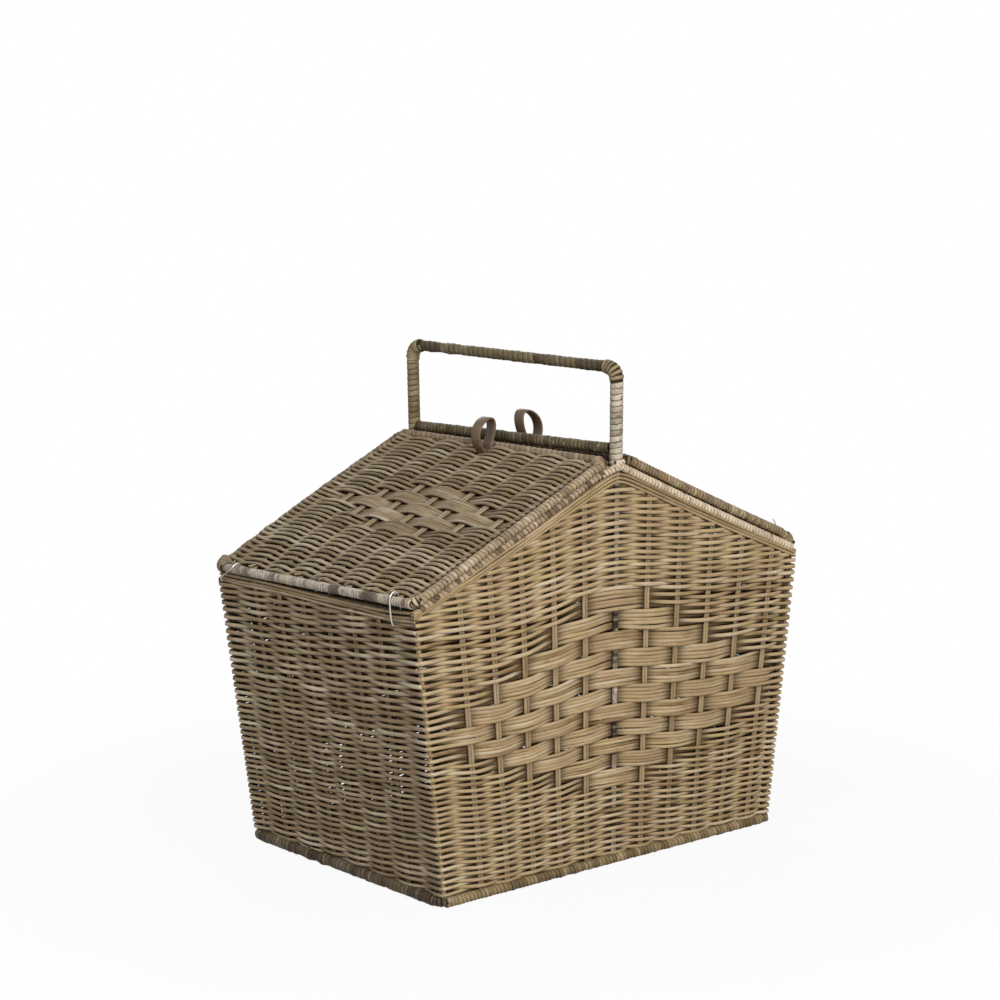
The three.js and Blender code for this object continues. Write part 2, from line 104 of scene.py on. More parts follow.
def gableY(z):  # half depth of the basket at the middle of its gables
    return -gableHigh.y + wallHalf + (z - gableLow.z) * gableSlope


# Node tree helpers

def add(tree, kind, inputs=None, **settings):
    made = tree.nodes.new(kind)
    for key, value in settings.items():
        setattr(made, key, value)
    for key, value in (inputs or {}).items():
        if isinstance(value, bpy.types.NodeSocket):
            tree.links.new(value, made.inputs[key])
        else:
            made.inputs[key].default_value = value
    return made


def calc(tree, operation, a, b=0.0):
    return add(tree, "ShaderNodeMath", {0: a, 1: b}, operation=operation).outputs[0]


def vectors(tree, operation, a, b):
    return add(tree, "ShaderNodeVectorMath", {0: a, 1: b}, operation=operation).outputs[0]


def scaled(tree, vector, factor):
    return add(tree, "ShaderNodeVectorMath", {0: vector, "Scale": factor}, operation="SCALE").outputs[0]


def named(tree, attribute, kind="FLOAT"):
    return add(tree, "GeometryNodeInputNamedAttribute", {"Name": attribute}, data_type=kind).outputs[0]


def newTree(name, sockets):
    tree = bpy.data.node_groups.new(name, "GeometryNodeTree")
    tree.interface.new_socket("Guides", in_out="INPUT", socket_type="NodeSocketGeometry")
    for label, kind in sockets.items():
        tree.interface.new_socket(label, in_out="INPUT", socket_type="NodeSocket" + kind)
    tree.interface.new_socket("Mesh", in_out="OUTPUT", socket_type="NodeSocketGeometry")
    return tree, tree.nodes.new("NodeGroupInput").outputs


def endTree(tree, geometry):
    whole = add(tree, "GeometryNodeRealizeInstances", {0: geometry})
    add(tree, "NodeGroupOutput", {0: whole.outputs[0]})


def show(name, data):  # a new object in the scene
    made = bpy.data.objects.new(name, data)
    bpy.context.scene.collection.objects.link(made)
    return made


def grow(name, guides, tree, values):  # runs the tree on the guide lines and keeps a plain mesh
    piece = show(name, guides)
    growing = piece.modifiers.new("growing", "NODES")
    growing.node_group = tree
    for item in tree.interface.items_tree:
        if item.in_out == "INPUT" and item.name in values:
            growing[item.identifier] = values[item.name]
    graph = bpy.context.evaluated_depsgraph_get()
    mesh = bpy.data.meshes.new_from_object(piece.evaluated_get(graph))
    piece.modifiers.clear()
    piece.data = mesh
    bpy.data.meshes.remove(guides)
    return piece


def canes(name, lines, finish, width, thickness, sides=8, depth=0.0):  # plain or woven strands
    return grow(name, guideLines(name, lines), strands, {
        "Depth": depth, "Width": width, "Thickness": thickness, "Sides": sides, "Cane": finish})


def settle(piece, body, slot, *nodes):
    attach(piece, body)
    if nodes:
        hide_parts(*nodes)
    return piece


# Guide lines: each strand is a list of points, and a point is its place, its way out and its side

def guideLines(name, strands):
    places, edges, outs, sides, alongs, numbers, girths = [], [], [], [], [], [], []
    for points, number, girth in strands:
        first = len(places)
        run = 0.0
        for i, (place, out, side) in enumerate(points):
            if i:
                run += (place - places[-1]).length
                edges.append((first + i - 1, first + i))
            places.append(place)
            outs.extend(out)
            sides.append(side)
            alongs.append(run)
            numbers.append(number)
            girths.append(girth)
    mesh = bpy.data.meshes.new(name)
    mesh.from_pydata(places, edges, [])
    for label, kind, values in (("out", "FLOAT_VECTOR", outs), ("side", "FLOAT", sides),
                                ("along", "FLOAT", alongs), ("strand", "FLOAT", numbers),
                                ("girth", "FLOAT", girths)):
        layer = mesh.attributes.new(label, kind, "POINT")
        layer.data.foreach_set("vector" if kind == "FLOAT_VECTOR" else "value", values)
    return mesh


def circle(tree, sides, radius):
    return add(tree, "GeometryNodeCurvePrimitiveCircle", {"Resolution": sides, "Radius": radius}).outputs[0]


def caneSection(tree, sides, thickness, width):  # marked: how far round, and 1 outside to -1 inside
    size = add(tree, "ShaderNodeCombineXYZ", {0: thickness, 1: width, 2: 1.0}).outputs[0]
    oval = add(tree, "GeometryNodeTransform", {"Geometry": circle(tree, sides, 0.5), "Scale": size})
    factor = add(tree, "GeometryNodeSplineParameter").outputs["Factor"]
    around = add(tree, "GeometryNodeStoreNamedAttribute",
                 {"Geometry": oval.outputs[0], "Name": "around", "Value": factor})
    facing = calc(tree, "COSINE", calc(tree, "MULTIPLY", factor, 2 * math.pi))
    return add(tree, "GeometryNodeStoreNamedAttribute",
               {"Geometry": around.outputs[0], "Name": "facing", "Value": facing}).outputs[0]


# Strand tree: a guide line swings out and in by its side, and becomes a round or oval cane

def strandTree():
    tree, given = newTree("caneStrands", {
        "Depth": "Float", "Width": "Float", "Thickness": "Float", "Sides": "Int", "Cane": "Material"})
    lines = add(tree, "GeometryNodeMeshToCurve", {0: given["Guides"]})
    turn = calc(tree, "MULTIPLY", named(tree, "side"), math.pi / 2)
    swing = calc(tree, "MULTIPLY", calc(tree, "SINE", turn), given["Depth"])
    shift = scaled(tree, named(tree, "out", "FLOAT_VECTOR"), swing)
    swung = add(tree, "GeometryNodeSetPosition", {"Geometry": lines.outputs[0], "Offset": shift})
    facing = add(tree, "GeometryNodeSetCurveNormal",
                 {"Curve": swung.outputs[0], "Normal": named(tree, "out", "FLOAT_VECTOR")}, mode="FREE")
    section = caneSection(tree, given["Sides"], given["Thickness"], given["Width"])
    cane = add(tree, "GeometryNodeCurveToMesh", {
        "Curve": facing.outputs[0], "Profile Curve": section, "Scale": named(tree, "girth"),
        "Fill Caps": True})
    smooth = add(tree, "GeometryNodeSetShadeSmooth", {"Geometry": cane.outputs[0]})
    coloured = add(tree, "GeometryNodeSetMaterial",
                   {"Geometry": smooth.outputs[0], "Material": given["Cane"]})
    endTree(tree, coloured.outputs[0])
    return tree


# Peel tree: a strip of peel wound round a rod, over a dark core

winding = {
    "steps": 14.0,               # points in one turn
    "lumpPace": 0.45, "lumpMiddle": 0.6,
    "stripSides": 8, "coreSides": 12,
    "coreSink": 0.8,             # depth of the core, in thicknesses of peel
}


def peelTree():
    tree, given = newTree("woundPeel", {
        "Radius": "Float", "Peel Width": "Float", "Peel Thickness": "Float", "Lumps": "Float",
        "Peel": "Material", "Core": "Material"})
    line = add(tree, "GeometryNodeMeshToCurve", {0: given["Guides"]})
    step = calc(tree, "DIVIDE", given["Peel Width"], winding["steps"])
    fine = add(tree, "GeometryNodeResampleCurve", {"Curve": line.outputs[0], "Length": step}, mode="LENGTH")
    run = add(tree, "GeometryNodeSplineParameter").outputs["Length"]
    turns = calc(tree, "DIVIDE", run, given["Peel Width"])
    angle = calc(tree, "MULTIPLY", turns, 2 * math.pi)
    across = add(tree, "GeometryNodeInputNormal").outputs[0]
    other = vectors(tree, "CROSS_PRODUCT", add(tree, "GeometryNodeInputTangent").outputs[0], across)
    radial = vectors(tree, "ADD", scaled(tree, across, calc(tree, "COSINE", angle)),
                     scaled(tree, other, calc(tree, "SINE", angle)))
    girth = calc(tree, "MULTIPLY", given["Radius"], 2 * math.pi)
    stripLength = add(tree, "GeometryNodeStoreNamedAttribute", {
        "Geometry": fine.outputs[0], "Name": "along", "Value": calc(tree, "MULTIPLY", turns, girth)})
    facing = add(tree, "GeometryNodeSetCurveNormal",
                 {"Curve": stripLength.outputs[0], "Normal": radial}, mode="FREE")
    pace = calc(tree, "MULTIPLY", turns, winding["lumpPace"])
    lump = add(tree, "ShaderNodeTexNoise", {"W": pace, "Scale": 1.0, "Detail": 2.0},
               noise_dimensions="1D").outputs[0]
    swell = calc(tree, "MULTIPLY", calc(tree, "SUBTRACT", lump, winding["lumpMiddle"]), given["Lumps"])
    seat = calc(tree, "SUBTRACT", given["Radius"], calc(tree, "MULTIPLY", given["Peel Thickness"], 0.5))
    outward = add(tree, "GeometryNodeInputNormal").outputs[0]
    wound = add(tree, "GeometryNodeSetPosition", {
        "Geometry": facing.outputs[0], "Offset": scaled(tree, outward, calc(tree, "ADD", seat, swell))})
    section = caneSection(tree, winding["stripSides"], given["Peel Thickness"], given["Peel Width"])
    strip = add(tree, "GeometryNodeCurveToMesh", {
        "Curve": wound.outputs[0], "Profile Curve": section, "Fill Caps": True})
    smooth = add(tree, "GeometryNodeSetShadeSmooth", {"Geometry": strip.outputs[0]})
    peel = add(tree, "GeometryNodeSetMaterial", {"Geometry": smooth.outputs[0], "Material": given["Peel"]})
    sink = calc(tree, "MULTIPLY", given["Peel Thickness"], winding["coreSink"])
    inner = calc(tree, "SUBTRACT", given["Radius"], sink)
    rod = add(tree, "GeometryNodeCurveToMesh", {
        "Curve": line.outputs[0], "Profile Curve": circle(tree, winding["coreSides"], inner),
        "Fill Caps": True})
    core = add(tree, "GeometryNodeSetMaterial", {"Geometry": rod.outputs[0], "Material": given["Core"]})
    both = add(tree, "GeometryNodeJoinGeometry")
    tree.links.new(core.outputs[0], both.inputs[0])
    tree.links.new(peel.outputs[0], both.inputs[0])
    endTree(tree, both.outputs[0])
    return tree


strands = strandTree()
wound = peelTree()
print("basket: trees built")


# Shared finishes

def newGroup(name, sockets, results):
    group = bpy.data.node_groups.new(name, "ShaderNodeTree")
    for label, kind in sockets.items():
        group.interface.new_socket(label, in_out="INPUT", socket_type="NodeSocket" + kind)
    for label, kind in results.items():
        group.interface.new_socket(label, in_out="OUTPUT", socket_type="NodeSocket" + kind)
    return group, group.nodes.new("NodeGroupInput").outputs


def noise(tree, x, y, z=0.0, detail=2.0):
    spot = add(tree, "ShaderNodeCombineXYZ", {0: x, 1: y, 2: z}).outputs[0]
    return add(tree, "ShaderNodeTexNoise", {"Vector": spot, "Scale": 1.0, "Detail": detail}).outputs[0]


def ramp(tree, value, low, high):
    return add(tree, "ShaderNodeMapRange", {"Value": value, "From Min": low, "From Max": high},
               interpolation_type="SMOOTHSTEP").outputs[0]


def blend(tree, factor, a, b, kind="MIX"):
    made = add(tree, "ShaderNodeMix", {"Factor": factor}, data_type="RGBA", blend_type=kind)
    for socket, colour in ((made.inputs[6], a), (made.inputs[7], b)):
        if isinstance(colour, bpy.types.NodeSocket):
            tree.links.new(colour, socket)
        else:
            socket.default_value = colour
    return made.outputs[2]


def cloudy(tree, scale, detail):  # soft clouds through the whole object
    spot = add(tree, "ShaderNodeTexCoord").outputs["Object"]
    return add(tree, "ShaderNodeTexNoise", {"Vector": spot, "Scale": scale, "Detail": detail}).outputs[0]


def between(tree, value, limits):  # 0 to 1 becomes the first to the second limit
    low, high = limits
    return add(tree, "ShaderNodeMapRange", {"Value": value, "To Min": low, "To Max": high}).outputs[0]


def newMaterial(name):
    material = bpy.data.materials.new(name)
    material.use_nodes = True
    return material, material.node_tree, material.node_tree.nodes["Principled BSDF"]


caneLook = {
    "lane": 7.31,                # keeps one strand's pattern apart from the next
    "fibrePace": 90.0, "quickPace": 38.0, "tintPace": 22.0, "speckPace": 160.0,  # changes in a metre
    "fibreRound": 5.0, "speckRound": 3.0,  # and once round
    "patchPace": 0.4,            # dark stretches, against the slow change
    "quickLane": 17.0, "tintLane": 63.0, "patchLane": 40.0, "speckLane": 11.0,
    "cloudScale": 19.0, "cloudShare": 0.7,
    "ownShare": 0.42, "slowShare": 0.65, "fibreShare": 0.5, "quickShare": 0.4,  # of a cane's tone
    "middleTone": (0.6, 0.98), "paleTone": (0.95, 1.35),  # where each starts, and where it is full
    "cloudTone": (0.42, 0.68), "greenTone": (0.54, 0.72), "redTone": (0.46, 0.3),
    "patchTone": (0.47, 0.60), "speckTone": (0.58, 0.68),
    "inner": (0.4, -0.4), "clear": (-0.35, -0.9), "flank": (0.55, -0.3),  # round a cane: which way it faces, and where the painted shade on its flanks lies and where it is spared
    "behind": (-0.1, -1.0), "before": (0.1, 1.0),  # along it, by its side of the stakes: where the painted shade behind a stake falls
    "roughness": (0.42, 0.66), "bump": 0.35,
    "greener": (0.97, 1.0, 0.82, 1), "redder": (0.93, 0.86, 0.83, 1),
    # the three colours: the cane's own dark marks, painted shade behind the stakes, and painted shade on the
    # canes' flanks
    "speck": (0.03, 0.018, 0.008, 1), "paintedShadeBehind": (0.035, 0.018, 0.005, 1), "edge": (0.028, 0.013, 0.003, 1),
    "gloss": 0.12, "grainDepth": 0.4 * mm,
}


def caneTone():  # colour of a cane: its own tone, change along it, fibres, stains and dark marks, with painted shade where it passes behind a stake and painted shade on its flanks (dark edges)
    group, given = newGroup("caneTone", {
        "Pale": "Color", "Middle": "Color", "Dark": "Color", "Stain": "Color", "Slow": "Float",
        "Patches": "Float", "Marks": "Float", "Shade": "Float", "Edges": "Float", "Inside": "Float"},
        {"Color": "Color", "Height": "Float", "Roughness": "Float"})
    along, strand, around, side, facing = (
        add(group, "ShaderNodeAttribute", attribute_name=label).outputs["Fac"]
        for label in ("along", "strand", "around", "side", "facing"))

    def paced(rate):
        return calc(group, "MULTIPLY", along, rate)

    own = add(group, "ShaderNodeTexWhiteNoise", {"W": strand}, noise_dimensions="1D").outputs["Value"]
    lane = calc(group, "MULTIPLY", strand, caneLook["lane"])
    slow = noise(group, paced(given["Slow"]), lane)
    fibre = noise(group, paced(caneLook["fibrePace"]),
                  calc(group, "MULTIPLY", around, caneLook["fibreRound"]), lane, 3.0)
    quick = noise(group, paced(caneLook["quickPace"]), calc(group, "ADD", lane, caneLook["quickLane"]))
    tone = calc(group, "MULTIPLY", own, caneLook["ownShare"])
    for change, share in ((slow, "slowShare"), (fibre, "fibreShare"), (quick, "quickShare")):
        tone = calc(group, "ADD", tone, calc(group, "MULTIPLY", change, caneLook[share]))
    body = blend(group, ramp(group, tone, *caneLook["middleTone"]), given["Dark"], given["Middle"])
    body = blend(group, ramp(group, tone, *caneLook["paleTone"]), body, given["Pale"])
    cloud = ramp(group, cloudy(group, caneLook["cloudScale"], 2.0), *caneLook["cloudTone"])
    body = blend(group, calc(group, "MULTIPLY", cloud, caneLook["cloudShare"]), body, given["Stain"])
    tint = noise(group, paced(caneLook["tintPace"]), calc(group, "ADD", lane, caneLook["tintLane"]))
    body = blend(group, ramp(group, tint, *caneLook["greenTone"]), body, caneLook["greener"], "MULTIPLY")
    body = blend(group, ramp(group, tint, *caneLook["redTone"]), body, caneLook["redder"], "MULTIPLY")
    pace = calc(group, "MULTIPLY", given["Slow"], caneLook["patchPace"])
    patch = noise(group, paced(pace), calc(group, "ADD", lane, caneLook["patchLane"]), 0.0, 3.0)
    patch = calc(group, "MULTIPLY", ramp(group, patch, *caneLook["patchTone"]), given["Patches"])
    body = blend(group, patch, body, given["Dark"])
    speck = noise(group, paced(caneLook["speckPace"]),
                  calc(group, "MULTIPLY", around, caneLook["speckRound"]),
                  calc(group, "ADD", lane, caneLook["speckLane"]), 3.0)
    speck = calc(group, "MULTIPLY", ramp(group, speck, *caneLook["speckTone"]), given["Marks"])
    body = blend(group, speck, body, caneLook["speck"])
    fromInside = ramp(group, facing, *caneLook["inner"])
    fromOutside = calc(group, "SUBTRACT", 1.0, fromInside)
    behind = calc(group, "MULTIPLY", ramp(group, side, *caneLook["behind"]), fromOutside)
    before = calc(group, "MULTIPLY", ramp(group, side, *caneLook["before"]), fromInside)
    paintedShadeBehind = calc(group, "ADD", behind, before)  # painted shade on what passes behind a stake, seen from either side
    body = blend(group, calc(group, "MULTIPLY", paintedShadeBehind, given["Shade"]), body, caneLook["paintedShadeBehind"])
    # painted shade on a cane's flanks and back, where canes crowd together; the inward face is spared some
    # of it by the Inside amount
    cleared = calc(group, "MULTIPLY", ramp(group, facing, *caneLook["clear"]), given["Inside"])
    edge = calc(group, "MULTIPLY", ramp(group, facing, *caneLook["flank"]), given["Edges"])
    edge = calc(group, "MULTIPLY", edge, calc(group, "SUBTRACT", 1.0, cleared))
    body = blend(group, edge, body, caneLook["edge"])
    rough = between(group, fibre, caneLook["roughness"])
    out = group.nodes.new("NodeGroupOutput")
    group.links.new(body, out.inputs["Color"])
    group.links.new(fibre, out.inputs["Height"])
    group.links.new(rough, out.inputs["Roughness"])
    return group


cane = caneTone()


# shade and edges set how much painted shade falls behind the stakes and on a cane's flanks
def caneMaterial(name, pale, middle, dark, stain, slow=9.0, patches=0.0, marks=0.0, shade=0.0, edges=0.7,
                 inside=0.15):
    material, tree, shader = newMaterial(name)
    tone = add(tree, "ShaderNodeGroup", node_tree=cane)
    for label, colour in (("Pale", pale), ("Middle", middle), ("Dark", dark), ("Stain", stain)):
        tone.inputs[label].default_value = (*colour, 1)
    for label, value in (("Slow", slow), ("Patches", patches), ("Marks", marks), ("Shade", shade),
                         ("Edges", edges), ("Inside", inside)):
        tone.inputs[label].default_value = value
    grain = add(tree, "ShaderNodeBump", {
        "Strength": caneLook["bump"], "Distance": caneLook["grainDepth"], "Height": tone.outputs["Height"]})
    tree.links.new(tone.outputs["Color"], shader.inputs["Base Color"])
    tree.links.new(tone.outputs["Roughness"], shader.inputs["Roughness"])
    tree.links.new(grain.outputs[0], shader.inputs["Normal"])
    shader.inputs["Specular IOR Level"].default_value = caneLook["gloss"]
    return material


finishes = {  # pale, middle, dark and stain; then pace, patches, marks, shade (painted shade behind stakes), edges (painted shade on flanks) and inside (how much of the flank shade the inward face is spared)
    "wall": caneMaterial("woven_wall", (0.475, 0.385, 0.265), (0.35, 0.255, 0.14), (0.15, 0.09, 0.038),
                         (0.29, 0.20, 0.11), 11.0, 0.0, 0.15, 0.85, 0.85),
    "sideWall": caneMaterial("woven_side_wall", (0.55, 0.46, 0.345), (0.285, 0.212, 0.13),
                             (0.12, 0.078, 0.04), (0.23, 0.163, 0.092), 11.0, 0.0, 0.15, 0.65, 0.85),
    "lid": caneMaterial("woven_lid", (0.45, 0.378, 0.28), (0.236, 0.179, 0.109), (0.10, 0.068, 0.035),
                        (0.196, 0.139, 0.077), 11.0, 0.0, 0.15, 0.6, 0.85, 0.85),
    "stake": caneMaterial("stakes", (0.38, 0.28, 0.17), (0.26, 0.18, 0.10), (0.14, 0.09, 0.045),
                          (0.30, 0.23, 0.14)),
    "lidStake": caneMaterial("lid_stakes", (0.36, 0.29, 0.20), (0.235, 0.18, 0.115), (0.11, 0.075, 0.042),
                             (0.25, 0.20, 0.14)),
    "trim": caneMaterial("bare_trim", (0.44, 0.335, 0.205), (0.31, 0.22, 0.118), (0.15, 0.093, 0.042),
                         (0.27, 0.188, 0.10), 7.0, 0.2, 0.3, 0.0, 0.9),
    "handleStake": caneMaterial("handle_stake", (0.60, 0.55, 0.49), (0.22, 0.165, 0.11),
                                (0.02, 0.014, 0.009), (0.14, 0.10, 0.06), 200.0, 1.0, 0.8),
    "rakeRim": caneMaterial("body_rim_peel", (0.70, 0.61, 0.48), (0.54, 0.44, 0.315), (0.10, 0.062, 0.034),
                            (0.47, 0.365, 0.25), 34.0, 0.3, 0.7, 0.0, 0.8),
    "nearRim": caneMaterial("near_rim_peel", (0.66, 0.57, 0.46), (0.39, 0.295, 0.195), (0.07, 0.042, 0.024),
                            (0.33, 0.245, 0.155), 34.0, 0.85, 0.9, 0.0, 0.9),
    "nearLidRim": caneMaterial("near_lid_rim_peel", (0.52, 0.415, 0.295), (0.28, 0.208, 0.13),
                               (0.06, 0.038, 0.02), (0.25, 0.183, 0.112), 34.0, 0.45, 0.8, 0.0, 0.9),
    "lidRim": caneMaterial("lid_rim_peel", (0.50, 0.405, 0.27), (0.215, 0.157, 0.085), (0.065, 0.042, 0.02),
                           (0.20, 0.143, 0.08), 34.0, 0.5, 0.7, 0.0, 0.9),
    "eaveRim": caneMaterial("eave_rim_peel", (0.64, 0.59, 0.51), (0.42, 0.36, 0.29), (0.075, 0.05, 0.036),
                            (0.38, 0.325, 0.265), 14.0, 0.9, 0.6, 0.0, 0.95),
    "farRim": caneMaterial("far_rim_peel", (0.55, 0.47, 0.36), (0.30, 0.235, 0.16), (0.055, 0.038, 0.024),
                           (0.22, 0.165, 0.105), 30.0, 0.55, 0.4, 0.0, 0.95),
    # the basket's own eave rims: the peel is dark to paint in the shade of the lids over them
    "paintedShadeRim": caneMaterial("shaded_rim_peel", (0.16, 0.115, 0.07), (0.085, 0.06, 0.036),
                            (0.03, 0.02, 0.012), (0.10, 0.07, 0.045), 24.0, 0.5, 0.3),
    "ridgeRim": caneMaterial("ridge_rim_peel", (0.43, 0.34, 0.24), (0.25, 0.185, 0.12), (0.07, 0.048, 0.028),
                             (0.25, 0.18, 0.115), 24.0, 0.4, 0.4, 0.0, 0.85),
    "post": caneMaterial("post_peel", (0.60, 0.55, 0.455), (0.43, 0.385, 0.30), (0.10, 0.073, 0.048),
                         (0.46, 0.395, 0.30), 18.0, 0.3, 0.7, 0.0, 0.85),
    "farPost": caneMaterial("far_post_peel", (0.36, 0.295, 0.18), (0.24, 0.187, 0.105), (0.08, 0.057, 0.03),
                            (0.26, 0.205, 0.115), 18.0, 0.4, 0.5, 0.0, 0.85),
    "bar": caneMaterial("bar_peel", (0.46, 0.40, 0.30), (0.15, 0.115, 0.066), (0.04, 0.028, 0.016),
                        (0.11, 0.088, 0.047), 20.0, 0.75, 0.3, 0.0, 0.85),
    "ridgeBar": caneMaterial("ridge_peel", (0.36, 0.30, 0.21), (0.13, 0.10, 0.054), (0.032, 0.022, 0.011),
                             (0.10, 0.08, 0.041), 24.0, 0.6, 0.2, 0.0, 0.85),
    "sideFoot": caneMaterial("side_foot_peel", (0.29, 0.235, 0.165), (0.105, 0.079, 0.05),
                             (0.03, 0.02, 0.012), (0.08, 0.057, 0.034), 30.0, 0.7, 0.4, 0.0, 0.95),
    "endFoot": caneMaterial("end_foot_peel", (0.46, 0.37, 0.23), (0.25, 0.185, 0.098), (0.06, 0.04, 0.018),
                            (0.19, 0.135, 0.067), 30.0, 0.65, 0.5, 0.0, 0.9),
    "core": caneMaterial("rim_core", (0.05, 0.034, 0.017), (0.035, 0.023, 0.011), (0.02, 0.012, 0.006),
                         (0.03, 0.019, 0.009)),
}


leatherLook = {
    "dark": (0.064, 0.039, 0.019, 1), "light": (0.126, 0.080, 0.039, 1), "clouds": 120.0,
    "roughness": (0.45, 0.65), "pores": 1400.0, "poreBump": 0.3, "poreDepth": 0.15 * mm,
}
wireLook = {
    "dull": (0.45, 0.42, 0.37, 1), "bright": (0.78, 0.76, 0.70, 1), "clouds": 300.0,
    "roughness": (0.25, 0.5), "metal": 0.85,
}


def leatherMaterial():
    material, tree, shader = newMaterial("brown_leather")
    spot = add(tree, "ShaderNodeTexCoord").outputs["Object"]
    cells = add(tree, "ShaderNodeTexVoronoi", {"Vector": spot, "Scale": leatherLook["pores"]},
                feature="DISTANCE_TO_EDGE").outputs[0]
    cloud = cloudy(tree, leatherLook["clouds"], 4.0)
    colour = blend(tree, cloud, leatherLook["dark"], leatherLook["light"])
    pores = add(tree, "ShaderNodeBump", {
        "Strength": leatherLook["poreBump"], "Distance": leatherLook["poreDepth"], "Height": cells})
    tree.links.new(colour, shader.inputs["Base Color"])
    tree.links.new(between(tree, cloud, leatherLook["roughness"]), shader.inputs["Roughness"])
    tree.links.new(pores.outputs[0], shader.inputs["Normal"])
    return material


def wireMaterial():
    material, tree, shader = newMaterial("loop_wire")
    cloud = cloudy(tree, wireLook["clouds"], 3.0)
    colour = blend(tree, cloud, wireLook["dull"], wireLook["bright"])
    tree.links.new(colour, shader.inputs["Base Color"])
    tree.links.new(between(tree, cloud, wireLook["roughness"]), shader.inputs["Roughness"])
    shader.inputs["Metallic"].default_value = wireLook["metal"]
    return material


print("basket: finishes made")


# Rows of the walls. Stakes are numbered from the middle of a wall, and corners follow the last stakes

weave = {
    "depth": 2.8 * mm,           # how far a strand swings from the middle of the wall
    "width": 3.5 * mm,           # a strand's height on the wall
    "thickness": 2.9 * mm,
    "pitch": 3.05 * mm,          # the row spacing at which strands have that size
    "sides": 8,
    "steps": 8,                  # points from stake to stake
    "lowestRow": 10.8 * mm,
    "lowerRows": 23,             # plain rows under the diamond
    "bandRows": 5,               # strands in one band of the diamond
    "bands": 11,
    "bandMiddle": 161 * mm,      # height of the diamond's middle band
    "bandPitch": 16.5 * mm,
    "bandSpread": 0.26 * mm,     # bands get taller towards the top
    "upperPitch": 3.04 * mm,     # rows above the diamond
    "upperGirth": 1.13,
    "gableStakes": 5,            # stakes each side of the middle one
    "gablePitch": 36.7 * mm,
    "gableSkew": 0.38 * mm,      # the stakes stand a little wider on one side
    "sideStakes": 6,
    "sidePitch": 37.5 * mm,
    "stakeWidth": 3.1 * mm,      # one rod of a stake's pair
    "stakeThickness": 2.9 * mm,
    "dipAt": 0.7,                # where a gable's rows lie lowest, from its middle to a corner
    "footRow": 10.2 * mm,        # rows that lie lower than this end at the foot rim
    "cornerBulge": 0.9 * mm,     # strands stand this much further off a corner post
    "tuck": 5 * mm,              # how far a row runs on behind the bare strands
    "wander": 0.45 * mm,         # unevenness of a row
    "uneven": 0.08,              # strands thinner and thicker than the rest
    "nearGirth": 1.0, "farGirth": 1.16,  # of the front and left walls, and of the others
    "girthRange": (0.94, 1.15),  # limits of a row's girth, from its spacing
    "diamondReach": 6,           # stakes and bands from the diamond's middle to its tips
    "lieFrom": 20 * mm, "lieOver": 260 * mm,    # heights over which the lie at the corners changes
    "dipOver": 250 * mm,
    "waveRate": (20, 60), "waveStart": (0, 6.28), "waveSize": (0.3, 1.0),  # of a row's unevenness
    "cornerDegrees": (18, 36, 52),              # a row's last points round its corner post
    "tuckFrom": 2 * mm, "tuckedSide": -0.9,     # rows pass behind the bare strands
    "trimCreep": 2.5 * mm, "trimTurn": 6 * mm,  # how far they run on there, and how softly they turn
    "footFade": 4 * mm, "footTurn": 2 * mm,     # and at the foot rim
    "turnRoom": 1 * mm,          # rows this near the trim or the foot don't round the corner
    "fewestPoints": 4,
    "sideCurve": (0.55, 0.45),   # how a side wall's rows rise from corner to corner
    "sideUpperRows": 16,
    "stakeSteps": 4,
    "stakeTop": 300 * mm,        # height at which the stakes' tops are set out
    "stakeInto": 3 * mm,         # how far they reach past the middle of the bare strands
    "number": {"gable": 2, "side": 6}, "stakeNumber": {"gable": 40.0, "side": 70.0},  # set the canes' tones
    "seed": 11, "sideSeed": 31,
}
cornerLie = {  # how rows lie at a corner against the middle of the front gable: at the foot, under the eave
    "front_left": (2 * mm, -15 * mm), "front_right": (-11 * mm, -14 * mm),
    "back_left": (-12 * mm, -28 * mm), "back_right": (-11 * mm, -14 * mm),
}
gableDip = {   # how they lie where they are lowest on the way there
    "front_left": (-0.5 * mm, -15.5 * mm), "front_right": (-10 * mm, -12.5 * mm),
    "back_left": (-9 * mm, -20 * mm), "back_right": (-9 * mm, -12 * mm),
}
dipCurve = {"front_left": 2.0, "front_right": 1.15, "back_left": 1.6, "back_right": 1.6}
trimShape = {
    "width": 2.7 * mm, "thickness": 2.9 * mm, "pitch": 3.15 * mm, "count": 3,
    "archReach": 9 * mm,         # how wide the strands round over under the peak
    "rise": 1.0 * mm,            # strands over the middle of the frame's trim
    "endRise": {"front_left": 8 * mm, "front_right": 8 * mm, "back_left": -1 * mm, "back_right": 4 * mm},
    "closing": 0.22,             # how much they close up towards the eaves
    "overrun": {"front_right": 0.5 * mm},
    "eaveLift": {"left": (-0.4 * mm, -0.9 * mm), "right": (0.0, 0.0)},  # front end, back end
    "cornerSweep": 3.5 * mm,     # how far they turn up to a front corner
    "out": 1.4 * mm,             # outer strands from the middle of the wall
    "wander": 1.6,               # as many times as a row's
    "sides": 10,
    "underRake": 17.6 * mm,      # from the line through the hinges down to the strands' middle
    "rowRoom": 1.6 * mm, "sideRoom": 0.5 * mm,  # from the strands to the rows' ends
    "endIn": 1.5 * mm,           # short of the end of the frame's trim
    "steps": 32, "crowding": 1.5,               # points lie closer near the peak
    "eaveRise": 2.5 * mm, "eaveOver": 6 * mm, "eaveSteps": 16,
    "sweepShare": 3 / 16,        # of the way along an eave
    "number": {"rake": 200.0, "eave": 260.0},
    "seed": 71,
}
diamondTop = (weave["bands"] * weave["bandRows"] - 1) / 2
rowsUnderUpper = weave["lowerRows"] + weave["bands"] * weave["bandRows"]


def bandHeight(part):  # height for a place counted in bands from the diamond's middle
    return weave["bandMiddle"] + weave["bandPitch"] * part + weave["bandSpread"] * part * part


